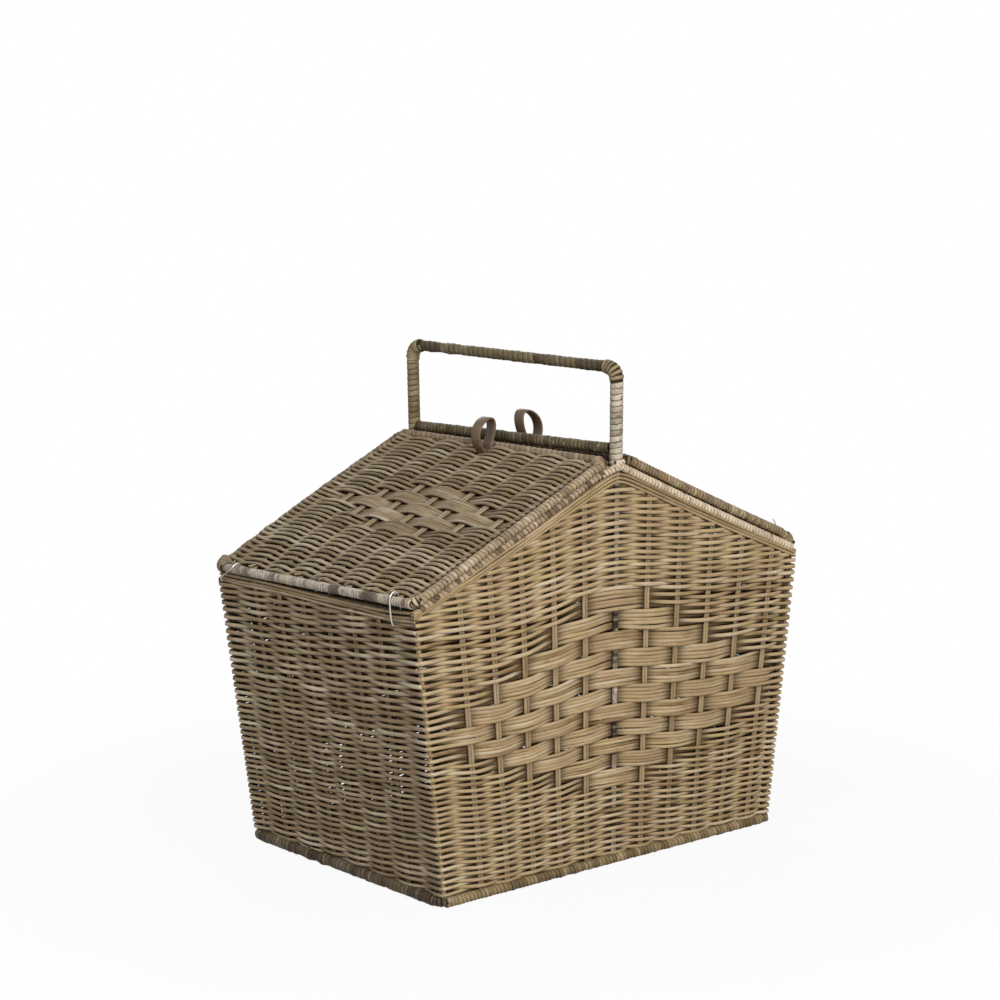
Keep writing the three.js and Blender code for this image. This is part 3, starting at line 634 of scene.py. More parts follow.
def rowHeight(row):
    half = weave["bands"] / 2
    if row < weave["lowerRows"]:
        pitch = (bandHeight(-half) - weave["lowestRow"]) / (weave["lowerRows"] - 0.5)
        return weave["lowestRow"] + row * pitch
    if row < rowsUnderUpper:
        return bandHeight((row - weave["lowerRows"] - diamondTop) / weave["bandRows"])
    return bandHeight(half) + (row - rowsUnderUpper + 0.5) * weave["upperPitch"]


def rowGirth(row):
    girth = within((rowHeight(row + 1) - rowHeight(row - 1)) / 2 / weave["pitch"], *weave["girthRange"])
    return girth * (weave["upperGirth"] if row >= rowsUnderUpper else 1.0)


def unevenGirth(row, facing, rng):
    girth = rowGirth(row) * (1 + weave["uneven"] * rng.uniform(-1, 1))
    return girth * weave["farGirth" if facing > 0 else "nearGirth"]


def cornerLift(corner, height):
    low, high = cornerLie[corner]
    return mix(low, high, ease((height - weave["lieFrom"]) / weave["lieOver"]))


def rowLift(corner, share, height):  # share is 0 at the middle of a gable and 1 at its corner
    low, high = gableDip[corner]
    dip = mix(low, high, within(height / weave["dipOver"]))
    if share < weave["dipAt"]:
        return dip * math.sin(share / weave["dipAt"] * math.pi / 2) ** dipCurve[corner]
    return mix(dip, cornerLift(corner, height), ease((share - weave["dipAt"]) / (1 - weave["dipAt"])))


def bandOf(row):  # number of a row's band, counted from the diamond's middle
    return (row - weave["lowerRows"]) // weave["bandRows"] - weave["bands"] // 2


def gableSide(stake, row, turn):  # 1 in front of a stake, -1 behind it
    band = bandOf(row)
    inBands = weave["lowerRows"] <= row < rowsUnderUpper
    inDiamond = inBands and abs(stake) + abs(band) <= weave["diamondReach"]
    if inDiamond and abs(stake) <= weave["gableStakes"]:
        return -1 if (stake + band) % 2 == 0 else 1
    return 1 if (stake + row + turn) % 2 == 0 else -1


def gableStakeAt(stake, z):
    place = weave["gablePitch"] * stake + weave["gableSkew"] * stake * stake
    return place * sideX(z) / sideX(weave["bandMiddle"])


trimMiddle = hingeZ + hingeX * rakeSlope - trimShape["underRake"] / math.cos(lidPitch) + trimShape["rise"]


def cornerAt(facing, u):  # the corner towards which a place on a gable lies
    return ("front" if facing < 0 else "back") + ("_left" if (u < 0) == (facing < 0) else "_right")


def trimHeight(corner, u, drop=0.0):  # the bare strands follow the rake and round over under the peak
    share = abs(u) / hingeX
    crest = trimMiddle + trimShape["endRise"][corner] * share * share
    drop = drop * (1 - trimShape["closing"] * share) / math.cos(lidPitch)
    return crest - drop - rakeSlope * math.hypot(u, trimShape["archReach"])


def softLower(a, b, reach):  # the lower of two heights, with a soft turn from one to the other
    gap = max(reach - abs(a - b), 0.0) / reach
    return min(a, b) - gap * gap * reach / 4


def wanderer(rng):  # two slow waves along a row
    parts = (weave["waveRate"], weave["waveStart"], weave["waveSize"])
    waves = [[rng.uniform(*part) for part in parts] for _ in range(2)]
    return lambda u: weave["wander"] * sum(size * math.sin(u * rate + start) for rate, start, size in waves)


def throughStations(stations, steps):
    walk = []
    for (u, side), (nextU, nextSide) in zip(stations, stations[1:]):
        for t in shares(steps)[:-1]:
            walk.append((mix(u, nextU, t), mix(side, nextSide, t)))
    walk.append(stations[-1])
    return walk


def cornerTurn(axis, ownOut, otherOut, side):  # a row's last points, outside its corner post
    if side < 0:
        return []
    reach = weave["depth"] + weave["cornerBulge"]
    turn = []
    for degrees in weave["cornerDegrees"]:
        angle = math.radians(degrees)
        turn.append((axis + (ownOut * math.cos(angle) + otherOut * math.sin(angle)) * reach, ownOut, 0.0))
    return turn


def wallRow(stations, place, height, limit, out, ends, wander):
    points = []
    walk = throughStations(stations, weave["steps"])
    last = len(walk) - 1
    for i, (u, side) in enumerate(walk):
        raw = height(u) + wander(u) * min(1.0, min(i, last - i) / weave["steps"])
        over = raw - limit(u)
        if over > weave["tuck"] or raw < weave["footRow"] - weave["footFade"]:
            continue
        tucked = max(ease((over + weave["tuckFrom"]) / weave["tuck"]),
                     ease((weave["footRow"] - raw) / weave["footFade"]))
        nearCorner = max(1 - min(i, last - i) / weave["steps"], 0.0)
        bulge = out * (weave["cornerBulge"] * nearCorner * math.sin(side * math.pi / 2))
        underTrim = softLower(raw, limit(u) + weave["trimCreep"], weave["trimTurn"])
        level = -softLower(-underTrim, -weave["footRow"], weave["footTurn"])
        points.append((place(u, level) + bulge, out, mix(side, weave["tuckedSide"], tucked)))
    if len(points) < weave["fewestPoints"]:
        return None
    for end, (u, side) in ((0, stations[0]), (1, stations[-1])):
        level = height(u)
        if weave["footRow"] - weave["turnRoom"] < level < limit(u) - weave["turnRoom"]:
            turn = cornerTurn(place(u, level), out, ends[end], side)
            points = points + turn if end else turn[::-1] + points
    return points


def gableWeave(name, facing, leftCorner, rightCorner, turn):
    rng = random.Random(weave["seed"] + turn)
    out = Vector((0, facing * math.cos(gableLean), -math.sin(gableLean)))
    ends = (Vector((facing, 0, 0)), Vector((-facing, 0, 0)))
    corner = weave["gableStakes"] + 1  # corners count as stakes

    def place(u, z):
        return Vector((-facing * u, facing * gableY(z), z))

    rows = []
    row = 0
    while True:
        base = rowHeight(row)
        halfWidth = sideX(base + cornerLift(leftCorner, base))
        otherHalf = sideX(base + cornerLift(rightCorner, base))
        stations = [(-halfWidth, gableSide(-corner, row, turn))]
        for stake in range(-weave["gableStakes"], weave["gableStakes"] + 1):
            stations.append((gableStakeAt(stake, base), gableSide(stake, row, turn)))
        stations.append((otherHalf, gableSide(corner, row, turn)))

        def height(u):
            if u < 0:
                return base + rowLift(leftCorner, -u / halfWidth, base)
            return base + rowLift(rightCorner, u / otherHalf, base)

        def limit(u):
            return trimHeight(cornerAt(facing, u), u, trimShape["pitch"]) - trimShape["rowRoom"]

        points = wallRow(stations, place, height, limit, out, ends, wanderer(rng))
        if points is None:
            break
        number = row + 1000.0 * (weave["number"]["gable"] + facing)
        rows.append((points, number, unevenGirth(row, facing, rng)))
        row += 1
    return canes(name, rows, finishes["wall"], weave["width"], weave["thickness"], weave["sides"],
                 weave["depth"])


def sideWeave(name, facing, leftCorner, rightCorner):
    rng = random.Random(weave["sideSeed"] + facing)
    out = Vector((facing * math.cos(sideLean), 0, -math.sin(sideLean)))
    ends = (Vector((0, -facing, 0)), Vector((0, facing, 0)))
    top = boxOf("left_eave_trim")[0].z + trimShape["sideRoom"]
    count = weave["sideStakes"]

    def place(u, z):
        return Vector((facing * sideX(z), facing * u, z))

    rows = []
    for row in range(rowsUnderUpper + weave["sideUpperRows"]):
        base = rowHeight(row)
        leftZ = base + cornerLift(leftCorner, base)
        rightZ = base + cornerLift(rightCorner, base)
        leftEnd, rightEnd = -gableY(leftZ), gableY(rightZ)
        first = 0 if leftCorner.startswith("front") else 1
        stations = [(leftEnd, 1 if (row + first) % 2 == 0 else -1)]
        for stake in range(count):
            u = (stake - (count - 1) / 2) * weave["sidePitch"]
            stations.append((u, 1 if (row + first + stake + 1) % 2 == 0 else -1))
        stations.append((rightEnd, 1 if (row + first + count + 1) % 2 == 0 else -1))

        def height(u):
            share = (u - leftEnd) / (rightEnd - leftEnd)
            straight, cubed = weave["sideCurve"]
            return mix(leftZ, rightZ, straight * share + cubed * share ** 3)

        points = wallRow(stations, place, height, lambda u: top, out, ends, wanderer(rng))
        if points:
            number = row + 1000.0 * (weave["number"]["side"] + facing)
            rows.append((points, number, unevenGirth(row, facing, rng)))
    return canes(name, rows, finishes["sideWall"], weave["width"], weave["thickness"], weave["sides"],
                 weave["depth"])


def rodPair(lines, middleAt, low, high, across, out, spread, number):  # two rods side by side make a stake
    for sign in (-1, 1):
        aside = across * (sign * spread)
        points = [(middleAt(mix(low, high, t)) + aside, out, 0.0) for t in shares(weave["stakeSteps"])]
        lines.append((points, number + sign * 0.25, 1.0))


def gableStakes(name, facing):
    out = Vector((0, facing, 0))
    lines = []
    for stake in range(-weave["gableStakes"], weave["gableStakes"] + 1):
        if stake == 0:
            continue
        across = gableStakeAt(stake, weave["stakeTop"])
        top = trimHeight(cornerAt(facing, stake), across, -weave["stakeInto"])

        def middleAt(z):
            return Vector((-facing * gableStakeAt(stake, z), facing * gableY(z), z))

        rodPair(lines, middleAt, gableLow.z, top, alongX, out, weave["stakeWidth"] / 2,
                weave["stakeNumber"]["gable"] + stake)
    return canes(name, lines, finishes["stake"], weave["stakeWidth"], weave["stakeThickness"])


def sideStakes(name, facing):
    out = Vector((facing, 0, 0))
    lines = []
    for stake in range(weave["sideStakes"]):
        u = (stake - (weave["sideStakes"] - 1) / 2) * weave["sidePitch"]

        def middleAt(z):
            return Vector((facing * sideX(z), facing * u, z))

        rodPair(lines, middleAt, sideLow.z, boxOf("left_eave_rim")[0].z, alongY, out,
                weave["stakeWidth"] / 2, weave["stakeNumber"]["side"] + stake)
    return canes(name, lines, finishes["stake"], weave["stakeWidth"], weave["stakeThickness"])


for name, facing, left, right, turn in (("front", -1, "front_left", "front_right", 0),
                                        ("back", 1, "back_right", "back_left", 1)):
    rows = gableWeave(name + "_wall_weave", facing, left, right, turn)
    stakes = gableStakes(name + "_wall_stakes", facing)
    settle(rows, "basket", "woven_rattan", name + "_wall")
    settle(stakes, "basket", "woven_rattan")
for name, facing, left, right in (("left", -1, "back_left", "front_left"),
                                  ("right", 1, "front_right", "back_right")):
    rows = sideWeave(name + "_wall_weave", facing, left, right)
    stakes = sideStakes(name + "_wall_stakes", facing)
    settle(rows, "basket", "woven_rattan", name + "_wall")
    settle(stakes, "basket", "woven_rattan")
print("basket: walls woven")


# Corner posts

cornerRod = {"width": 4.4 * mm, "thickness": 4.4 * mm, "sides": 10, "steps": 6, "number": 90.0}
for end, y in endSigns:
    for hand, x in handSigns:
        node = end + "_" + hand + "_corner_post"
        low, high = boxOf(node)
        points = []
        for t in shares(cornerRod["steps"]):
            z = mix(low.z, high.z, t)
            points.append((Vector((x * sideX(z), y * gableY(z), z)), Vector((x, y, 0)).normalized(), 0.0))
        post = canes(node + "_rod", [(points, cornerRod["number"] + x + 3 * y, 1.0)], finishes["stake"],
                     cornerRod["width"], cornerRod["thickness"], cornerRod["sides"])
        settle(post, "basket", "bare_strand", node)


# Bare strands under the rims

def strandBundle(name, lines, finish):
    return canes(name, lines, finishes[finish], trimShape["width"], trimShape["thickness"],
                 trimShape["sides"])


rng = random.Random(trimShape["seed"])
for end, facing in endSigns:
    for hand, sign in handSigns:
        node = end + "_" + hand + "_rake_trim"
        corner = end + "_" + hand
        reach = -boxOf("front_left_rake_trim")[0].x - trimShape["endIn"]
        reach += trimShape["overrun"].get(corner, 0.0)
        lines = []
        for layer, shift in ((1, trimShape["out"]), (-1, -trimShape["out"])):
            for i in range(trimShape["count"]):
                drop = (i - (trimShape["count"] - 1) / 2) * trimShape["pitch"]
                points = []
                wander = wanderer(rng)
                for t in shares(trimShape["steps"]):
                    u = reach * t ** trimShape["crowding"]
                    z = trimHeight(corner, u, drop) + wander(u) * trimShape["wander"] * t
                    spot = Vector((sign * u, facing * (gableY(z) + shift), z))
                    points.append((spot, alongY * facing, 0.0))
                number = trimShape["number"]["rake"] + 11 * i + 3 * layer + facing + 0.5 * sign
                lines.append((points, number, 1.0))
        settle(strandBundle(node + "_strands", lines, "trim"), "basket", "bare_strand", node)
for hand, facing in handSigns:
    node = hand + "_eave_trim"
    low, high = boxOf(node)
    lines = []
    middle = (low.z + high.z) / 2 + trimShape["eaveRise"]
    for layer, shift in ((1, trimShape["out"]), (-1, -trimShape["out"])):
        for i in range(trimShape["count"]):
            points = []
            wander = wanderer(rng)
            for t in shares(trimShape["eaveSteps"]):
                y = mix(low.y - trimShape["eaveOver"], high.y + trimShape["eaveOver"], t)
                lift = mix(*trimShape["eaveLift"][hand], t)
                lift += trimShape["cornerSweep"] * ease(1 - t / trimShape["sweepShare"]) ** 2
                z = middle + lift + (i - (trimShape["count"] - 1) / 2) * trimShape["pitch"]
                z += wander(y) * trimShape["wander"]
                points.append((Vector((facing * (sideX(z) + shift), y, z)), alongX * facing, 0.0))
            lines.append((points, trimShape["number"]["eave"] + 7 * i + 3 * layer + facing, 1.0))
    settle(strandBundle(node + "_strands", lines, "sideWall"), "basket", "bare_strand", node)
print("basket: bare strands laid")


# Lids

lidWeave = {
    "depth": 3.0 * mm, "width": 3.4 * mm, "thickness": 3.0 * mm, "sides": 8, "steps": 8,
    "firstRow": 6.4 * mm,        # from the hinge to the first row
    "lastRow": 6.4 * mm,         # from the last row to the ridge rim's middle
    "rows": 75, "bandRows": 5, "middleRow": 38, "bands": 2,
    "stakes": 3,                 # each side of the middle one
    "stakePitch": 37 * mm, "stakeShift": 10 * mm,
    "stakeWidth": 3.7 * mm, "stakeThickness": 2.9 * mm,
    "rimInset": 4.6 * mm, "seed": 31,
    "droopReach": 60 * mm,       # rows this near the eave rim follow its lie
    "stub": 2.6 * mm,            # ends of stakes, bent over the eave rim
    "stubBend": ((11, 1.6), (7, 3.8)), "stubTip": (3, 5.0),  # mm from the hinge and off the lid
    "stubUneven": (-2.5, 1), "stubAside": (-2, 2), "stubGirth": (0.8, 1.1),
    "stakeEnds": 2 * mm, "edgeSwing": 0.5, "diamondReach": 3, "girth": (1.04, 1.16),
    "number": 11, "stakeNumber": 320.0, "stubNumber": 350.0,  # set the canes' tones
}


def lidSide(stake, row):
    band = (row - lidWeave["middleRow"] + lidWeave["bandRows"] // 2) // lidWeave["bandRows"]
    if abs(band) <= lidWeave["bands"] and abs(stake) + abs(band) <= lidWeave["diamondReach"]:
        return -1 if (stake + band) % 2 else 1
    return 1 if (stake + row) % 2 == 0 else -1


def lidPlacer(facing):
    out = Vector((facing * math.sin(lidPitch), 0, math.cos(lidPitch)))

    def place(u, s, lift=0.0):
        return Vector((facing * (hingeX - s * math.cos(lidPitch)), facing * u,
                       hingeZ + s * math.sin(lidPitch))) + out * lift
    return place, out


eaveLie = {"left": (-0.5 * mm, -6.5 * mm), "right": (0.0, 0.0)}  # a lid's eave rim, front and back end


def eaveSag(facing, y):
    front, back = eaveLie["left" if facing < 0 else "right"]
    share = within(0.5 + y / boxOf("left_lid_eave_rim")[1].y / 2)
    return alongZ * mix(front, back, share)


def weaveLid(name, facing):
    rng = random.Random(lidWeave["seed"] + facing)
    place, out = lidPlacer(facing)
    half = boxOf("left_lid_eave_rim")[1].y - 2 * lidWeave["rimInset"]
    edge = lidWeave["stakes"] + 1  # the panel's edges count as stakes
    rows = []
    for row in range(lidWeave["rows"]):
        s = mix(lidWeave["firstRow"], lidLength - lidWeave["lastRow"], row / (lidWeave["rows"] - 1))
        stations = [(-half, lidSide(-edge, row) * lidWeave["edgeSwing"])]
        for stake in range(-lidWeave["stakes"], lidWeave["stakes"] + 1):
            stations.append((lidWeave["stakeShift"] + lidWeave["stakePitch"] * stake, lidSide(stake, row)))
        stations.append((half, lidSide(edge, row) * lidWeave["edgeSwing"]))
        wander = wanderer(rng)
        droop = ease(1 - s / lidWeave["droopReach"])
        points = [(place(u, s + wander(u)) + eaveSag(facing, facing * u) * droop, out, side)
                  for u, side in throughStations(stations, lidWeave["steps"])]
        rows.append((points, row + 1000.0 * (lidWeave["number"] + facing), rng.uniform(*lidWeave["girth"])))
    lines = []
    stubs = []
    for stake in range(-lidWeave["stakes"], lidWeave["stakes"] + 1):
        u = lidWeave["stakeShift"] + lidWeave["stakePitch"] * stake
        sag = eaveSag(facing, facing * u)

        def middleAt(s):
            return place(u, s) + sag * ease(1 - s / lidWeave["droopReach"])

        rodPair(lines, middleAt, lidWeave["stakeEnds"], lidLength - lidWeave["stakeEnds"], alongY, out,
                lidWeave["stakeWidth"] / 2, lidWeave["stakeNumber"] + stake + 10 * facing)
        tip, tipLift = lidWeave["stubTip"]
        tip += rng.uniform(*lidWeave["stubUneven"])
        bend = [(place(u + rng.uniform(*lidWeave["stubAside"]) * mm, s * mm, lift * mm) + sag, out, 0.0)
                for s, lift in (*lidWeave["stubBend"], (tip, tipLift))]
        number = lidWeave["stubNumber"] + stake + 10 * facing
        stubs.append((bend, number, rng.uniform(*lidWeave["stubGirth"])))
    panel = canes(name + "_weave", rows, finishes["lid"], lidWeave["width"], lidWeave["thickness"],
                  lidWeave["sides"], lidWeave["depth"])
    stakes = canes(name + "_stakes", lines, finishes["lidStake"], lidWeave["stakeWidth"],
                   lidWeave["stakeThickness"])
    ends = canes(name + "_stake_ends", stubs, finishes["lidStake"], lidWeave["stub"], lidWeave["stub"])
    return panel, stakes, ends


for hand, facing in handSigns:
    panel, stakes, ends = weaveLid(hand + "_lid_panel", facing)
    settle(panel, hand + "_lid", "woven_rattan", hand + "_lid_panel")
    settle(stakes, hand + "_lid", "woven_rattan")
    settle(ends, hand + "_lid", "woven_rattan")
print("basket: lids woven")


# Wrapped rods

def straightPath(start, end):
    return [(start, alongZ, 0.0), (end, alongZ, 0.0)]


def rodEnds(node, direction, radius):  # the two ends of a rod's axis, from its box
    low, high = boxOf(node)
    along = max(range(3), key=lambda i: abs(direction[i]))
    share = abs(direction[along])
    half = ((high - low)[along] / 2 - radius * math.sqrt(max(1 - share * share, 0.0))) / share
    middle = (low + high) / 2
    return middle - direction * half, middle + direction * half


def wrap(name, path, radius, peel, width, thickness, lumps):
    number = (sum(ord(letter) * (i + 3) for i, letter in enumerate(name)) % 997) + 0.37  # its own tone
    return grow(name, guideLines(name, [(path, number, 1.0)]), wound, {
        "Radius": radius, "Peel Width": width, "Peel Thickness": thickness, "Lumps": lumps,
        "Peel": finishes[peel], "Core": finishes["core"]})


rims = {
    "radius": 4.4 * mm,
    "rakePeel": 4.4 * mm, "lidRakePeel": 4.2 * mm, "eavePeel": 3.8 * mm, "ridgePeel": 7.5 * mm,
    "farPeel": 6 * mm, "farLumps": 2.4 * mm,
    "shadedRadius": 2.2 * mm, "shadedPeel": 3.4 * mm,  # the basket's own eave rims, in the lids' shade
    "shadedIn": 2.5 * mm, "shadedDrop": {"left": (1 * mm, 5.5 * mm), "right": (0.0, 1 * mm)},
    "footRadius": {"side": 5.8 * mm, "end": 4.9 * mm}, "footPeel": {"side": 5.4 * mm, "end": 4.4 * mm},
    "footOut": {"side": 4 * mm, "end": 2 * mm}, "footLumps": {"side": 2.6 * mm, "end": 1.6 * mm},
    "thickness": 1.7 * mm,       # of a turn of peel, which lies rounded on the rod
    "lumps": 0.7 * mm,
    "knotReach": 12 * mm, "knotRadius": 4.8 * mm, "knotPeel": 3.4 * mm,
    "bowUntil": 0.93,            # where a bowed rim starts back to its place
    "rakeSteps": 48,
    "endRoom": 6 * mm, "footEnds": 5 * mm,      # rims end this much before the corners
    "footGap": 0.3 * mm,         # between the foot and the ground
}
bodyLie = {  # how the basket's rake rims lie off their place in the frame
    "front_left": {"radius": 4.0 * mm, "rise": 1.1 * mm, "inward": 1.2 * mm, "short": 9 * mm,
                   "peel": "nearRim"},
    "front_right": {"radius": 4.1 * mm, "end": 4 * mm, "short": 5 * mm},
    "back_left": {"end": -6 * mm, "short": 6 * mm}, "back_right": {},
}
lidLie = {
    "front_left": {"inward": -1.5 * mm, "peel": "nearLidRim"}, "front_right": {"bow": 4 * mm},
    "back_left": {"end": -6 * mm, "knotOut": 4 * mm, "knotRadius": 6 * mm}, "back_right": {},
}


def rakeLift(lie, t):  # t is 0 at the peak and 1 at the eave, where a bowed rim is back in its place
    bow = lie.get("bow", 0.0) * (1 - ease((t - rims["bowUntil"]) / (1 - rims["bowUntil"])))
    return alongZ * (lie.get("rise", 0.0) + (lie.get("end", 0.0) + bow) * t * t)


def rakePath(node, downRake, lie):  # a rake rim from the peak down
    upper, lower = rodEnds(node, downRake, rims["radius"])
    lower = lower - downRake * lie.get("short", 0.0)
    inward = Vector((0, -lie.get("inward", 0.0) * math.copysign(1, upper.y), 0))
    return [(mix(upper, lower, t) + inward + rakeLift(lie, t), alongZ, 0.0)
            for t in shares(rims["rakeSteps"])]


def bentPath(start, corner, end, steps=10):  # rounds a corner between two rods
    return [(start * (1 - t) ** 2 + corner * (2 * t * (1 - t)) + end * t * t, alongZ, 0.0)
            for t in shares(steps)]


def knot(name, body, corner, one, other, radius, peel, oneLift=Vector(), otherLift=Vector()):
    path = bentPath(corner + one * rims["knotReach"] + oneLift, corner + otherLift,
                    corner + other * rims["knotReach"] + otherLift)
    bound = wrap(name, path, radius, peel, rims["knotPeel"], rims["thickness"], rims["lumps"])
    settle(bound, body, "wrapped_rim")


for hand, facing in handSigns:
    downRake = Vector((facing * math.cos(lidPitch), 0, -math.sin(lidPitch)))
    place, out = lidPlacer(facing)
    for end, y in endSigns:
        node = end + "_" + hand + "_rake_rim"
        corner = end + "_" + hand
        lie = bodyLie[corner]
        settle(wrap(node + "_peel", rakePath(node, downRake, lie), lie.get("radius", rims["radius"]),
                    lie.get("peel", "rakeRim"), rims["rakePeel"], rims["thickness"], rims["lumps"]),
               "basket", "wrapped_rim", node)
        lid = hand + "_lid"
        lie = lidLie[corner]
        node = lid + "_" + end + "_rake_rim"
        peel, width, lumps = lie.get("peel", "lidRim"), rims["lidRakePeel"], rims["lumps"]
        if end == "back":
            peel, width, lumps = "farRim", rims["farPeel"], rims["farLumps"]
        settle(wrap(node + "_peel", rakePath(node, downRake, lie), rims["radius"], peel, width,
                    rims["thickness"], lumps), lid, "wrapped_rim", node)
        rakeY = middleOf(node).y
        cornerSpot = place(facing * rakeY, 0) + alongY * (y * lie.get("knotOut", 0.0))
        rimLift = rakeLift(lie, 1 - rims["knotReach"] / lidLength)
        knot(lid + "_" + end + "_eave_knot", lid, cornerSpot, -downRake, alongY * -y,
             lie.get("knotRadius", rims["knotRadius"]), peel, rimLift, eaveSag(facing, rakeY))
        knot(lid + "_" + end + "_ridge_knot", lid, place(facing * rakeY, lidLength), downRake,
             alongY * -y, rims["knotRadius"], peel)
    for node, body, peel, width, radius in (
            # the basket's eave rim takes the dark peel that paints in the lids' shade
            (hand + "_eave_rim", "basket", "paintedShadeRim", rims["shadedPeel"], rims["shadedRadius"]),
            (hand + "_lid_eave_rim", hand + "_lid", "eaveRim", rims["eavePeel"], rims["radius"]),
            (hand + "_lid_ridge_rim", hand + "_lid", "ridgeRim", rims["ridgePeel"], rims["radius"])):
        start, finish = rodEnds(node, alongY, radius)
        if body == "basket":
            inward = alongX * (-facing * rims["shadedIn"])
            start, finish = (spot + inward - alongZ * drop
                             for spot, drop in zip((start, finish), rims["shadedDrop"][hand]))
        else:
            start += alongY * rims["endRoom"]
            finish -= alongY * rims["endRoom"]
        if "eave" in node and body != "basket":
            start += eaveSag(facing, start.y)
            finish += eaveSag(facing, finish.y)
        settle(wrap(node + "_peel", straightPath(start, finish), radius, peel, width,
                    rims["thickness"], rims["lumps"]), body, "wrapped_rim", node)


def footPlace(node):  # the middle of a foot rim, which stands out a little from its place in the frame
    place = middleOf(node)
    way = "side" if abs(place.x) > abs(place.y) else "end"
    away = Vector((place.x, place.y, 0)).normalized() * rims["footOut"][way]
    return Vector((place.x, place.y, rims["footRadius"][way] + rims["footGap"])) + away, way


for node, direction in (("left_base_rim", alongY), ("right_base_rim", alongY),
                        ("front_base_rim", alongX), ("back_base_rim", alongX)):
    middle, way = footPlace(node)
    low, high = boxOf(node)
    half = direction * ((high - low).dot(direction) / 2 - rims["footEnds"])
    settle(wrap(node + "_peel", straightPath(middle - half, middle + half), rims["footRadius"][way],
                way + "Foot", rims["footPeel"][way], rims["thickness"], rims["footLumps"][way]),
           "basket", "wrapped_rim", node)
for end, y in endSigns:
    for hand, x in handSigns:
        side, way = footPlace(hand + "_base_rim")
        front, way = footPlace(end + "_base_rim")
        corner = Vector((side.x, front.y, (side.z + front.z) / 2))
        knot(end + "_" + hand + "_base_knot", "basket", corner, alongX * -x, alongY * -y,
             rims["footRadius"]["end"], "sideFoot")
print("basket: rims wrapped")


# Handle

handle = {
    "radius": 6.2 * mm, "postPeel": 5.4 * mm,
    "barRadius": 5.5 * mm, "barPeel": 7.4 * mm,
    "barDrop": {"front": 2.3 * mm, "back": -0.4 * mm},  # how far each end lies under its place in the frame
    "cornerRadius": 6.9 * mm, "cornerPeel": 3.4 * mm,
    "cornerDrop": {"front": 3.2 * mm, "back": 1.2 * mm},
    "ridgeRadius": 5.5 * mm, "ridgePeel": 5.2 * mm,
    "ridgeDrop": {"front": -1.8 * mm, "back": 1.8 * mm},
    "thickness": 1.5 * mm, "postThickness": 0.75 * mm, "cornerThickness": 1.1 * mm, "lumps": 1.8 * mm,
    "stakeWidth": 6.2 * mm, "stakeThickness": 3.0 * mm,  # the bare post among the strands
    "stakeSides": 12, "stakeSteps": 8, "stakeNumber": 77.0,
    "wrapFoot": 371 * mm,        # height at which the wrapping starts
    "wrapIn": 1.5 * mm, "wrapOver": 4 * mm,     # in from the wall's middle there, and over the bare post
    "elbowIn": 6.7 * mm,         # from the corner's outer face to the post's middle
    "cornerSteps": 14, "cornerLumps": 0.6 * mm, "postLumps": 0.4 * mm,
}
binding = {  # strips that cross at the peak
    "radius": 3.6 * mm, "peel": 3.4 * mm, "thickness": 1.4 * mm, "lumps": 0.4 * mm, "rimRadius": 4.5 * mm,
    "startAside": 17 * mm, "turnAside": 4 * mm, "endAside": 5 * mm,
    "turnOut": 4.4 * mm, "endOut": 1.5 * mm, "turnRise": 1 * mm, "endRise": 7 * mm,
    "over": {"left": 1.0 * mm, "right": 0.0},   # the left one lies over the right one
}
for end, facing in endSigns:
    low, high = boxOf(end + "_handle_corner")
    barTop = boxOf("handle_bar")[1].z
    topZ = barTop - handle["radius"] - handle["cornerDrop"][end]
    postTop = boxOf(end + "_handle_post")[1].z
    elbowY = max(abs(low.y), abs(high.y)) - handle["elbowIn"]
    innerY = min(abs(low.y), abs(high.y))
    barZ = barTop - handle["radius"] - handle["barDrop"][end]
    path = bentPath(Vector((0, facing * elbowY, low.z)), Vector((0, facing * elbowY, topZ)),
                    Vector((0, facing * innerY, barZ)), handle["cornerSteps"])
    settle(wrap(end + "_handle_corner_peel", path, handle["cornerRadius"], "farPost", handle["cornerPeel"],
                handle["cornerThickness"], handle["cornerLumps"]),
           "basket", "wrapped_handle", end + "_handle_corner")
    foot = Vector((0, facing * (gableY(handle["wrapFoot"]) - handle["wrapIn"]), handle["wrapFoot"]))
    settle(wrap(end + "_handle_post_peel", straightPath(foot, Vector((0, facing * elbowY, postTop))),
                handle["radius"], "post" if facing < 0 else "farPost", handle["postPeel"],
                handle["postThickness"], handle["postLumps"]),
           "basket", "wrapped_handle", end + "_handle_post")
    points = []
    for t in shares(handle["stakeSteps"]):
        z = mix(gableLow.z, handle["wrapFoot"] + handle["wrapOver"], t)
        points.append((Vector((0, facing * gableY(z), z)), alongY * facing, 0.0))
    bare = canes(end + "_handle_stake", [(points, handle["stakeNumber"] + facing, 1.0)],
                 finishes["handleStake"], handle["stakeWidth"], handle["stakeThickness"],
                 handle["stakeSides"])
    settle(bare, "basket", "bare_strand")
    downRake = Vector((math.cos(lidPitch), 0, -math.sin(lidPitch)))
    rimTop = rodEnds(end + "_right_rake_rim", downRake, binding["rimRadius"])[0]
    for hand, x in handSigns:
        outward = abs(rimTop.y) + binding["over"][hand]
        aside = binding["startAside"]
        start = Vector((x * aside, rimTop.y, rimTop.z - rakeSlope * (aside - rimTop.x)))
        turnAt = Vector((x * binding["turnAside"], facing * (outward + binding["turnOut"]),
                         rimTop.z + binding["turnRise"]))
        finish = Vector((-x * binding["endAside"], facing * (outward + binding["endOut"]),
                         rimTop.z + binding["endRise"]))
        strip = wrap(end + "_" + hand + "_peak_binding", bentPath(start, turnAt, finish), binding["radius"],
                     "rakeRim", binding["peel"], binding["thickness"], binding["lumps"])
        settle(strip, "basket", "wrapped_rim")
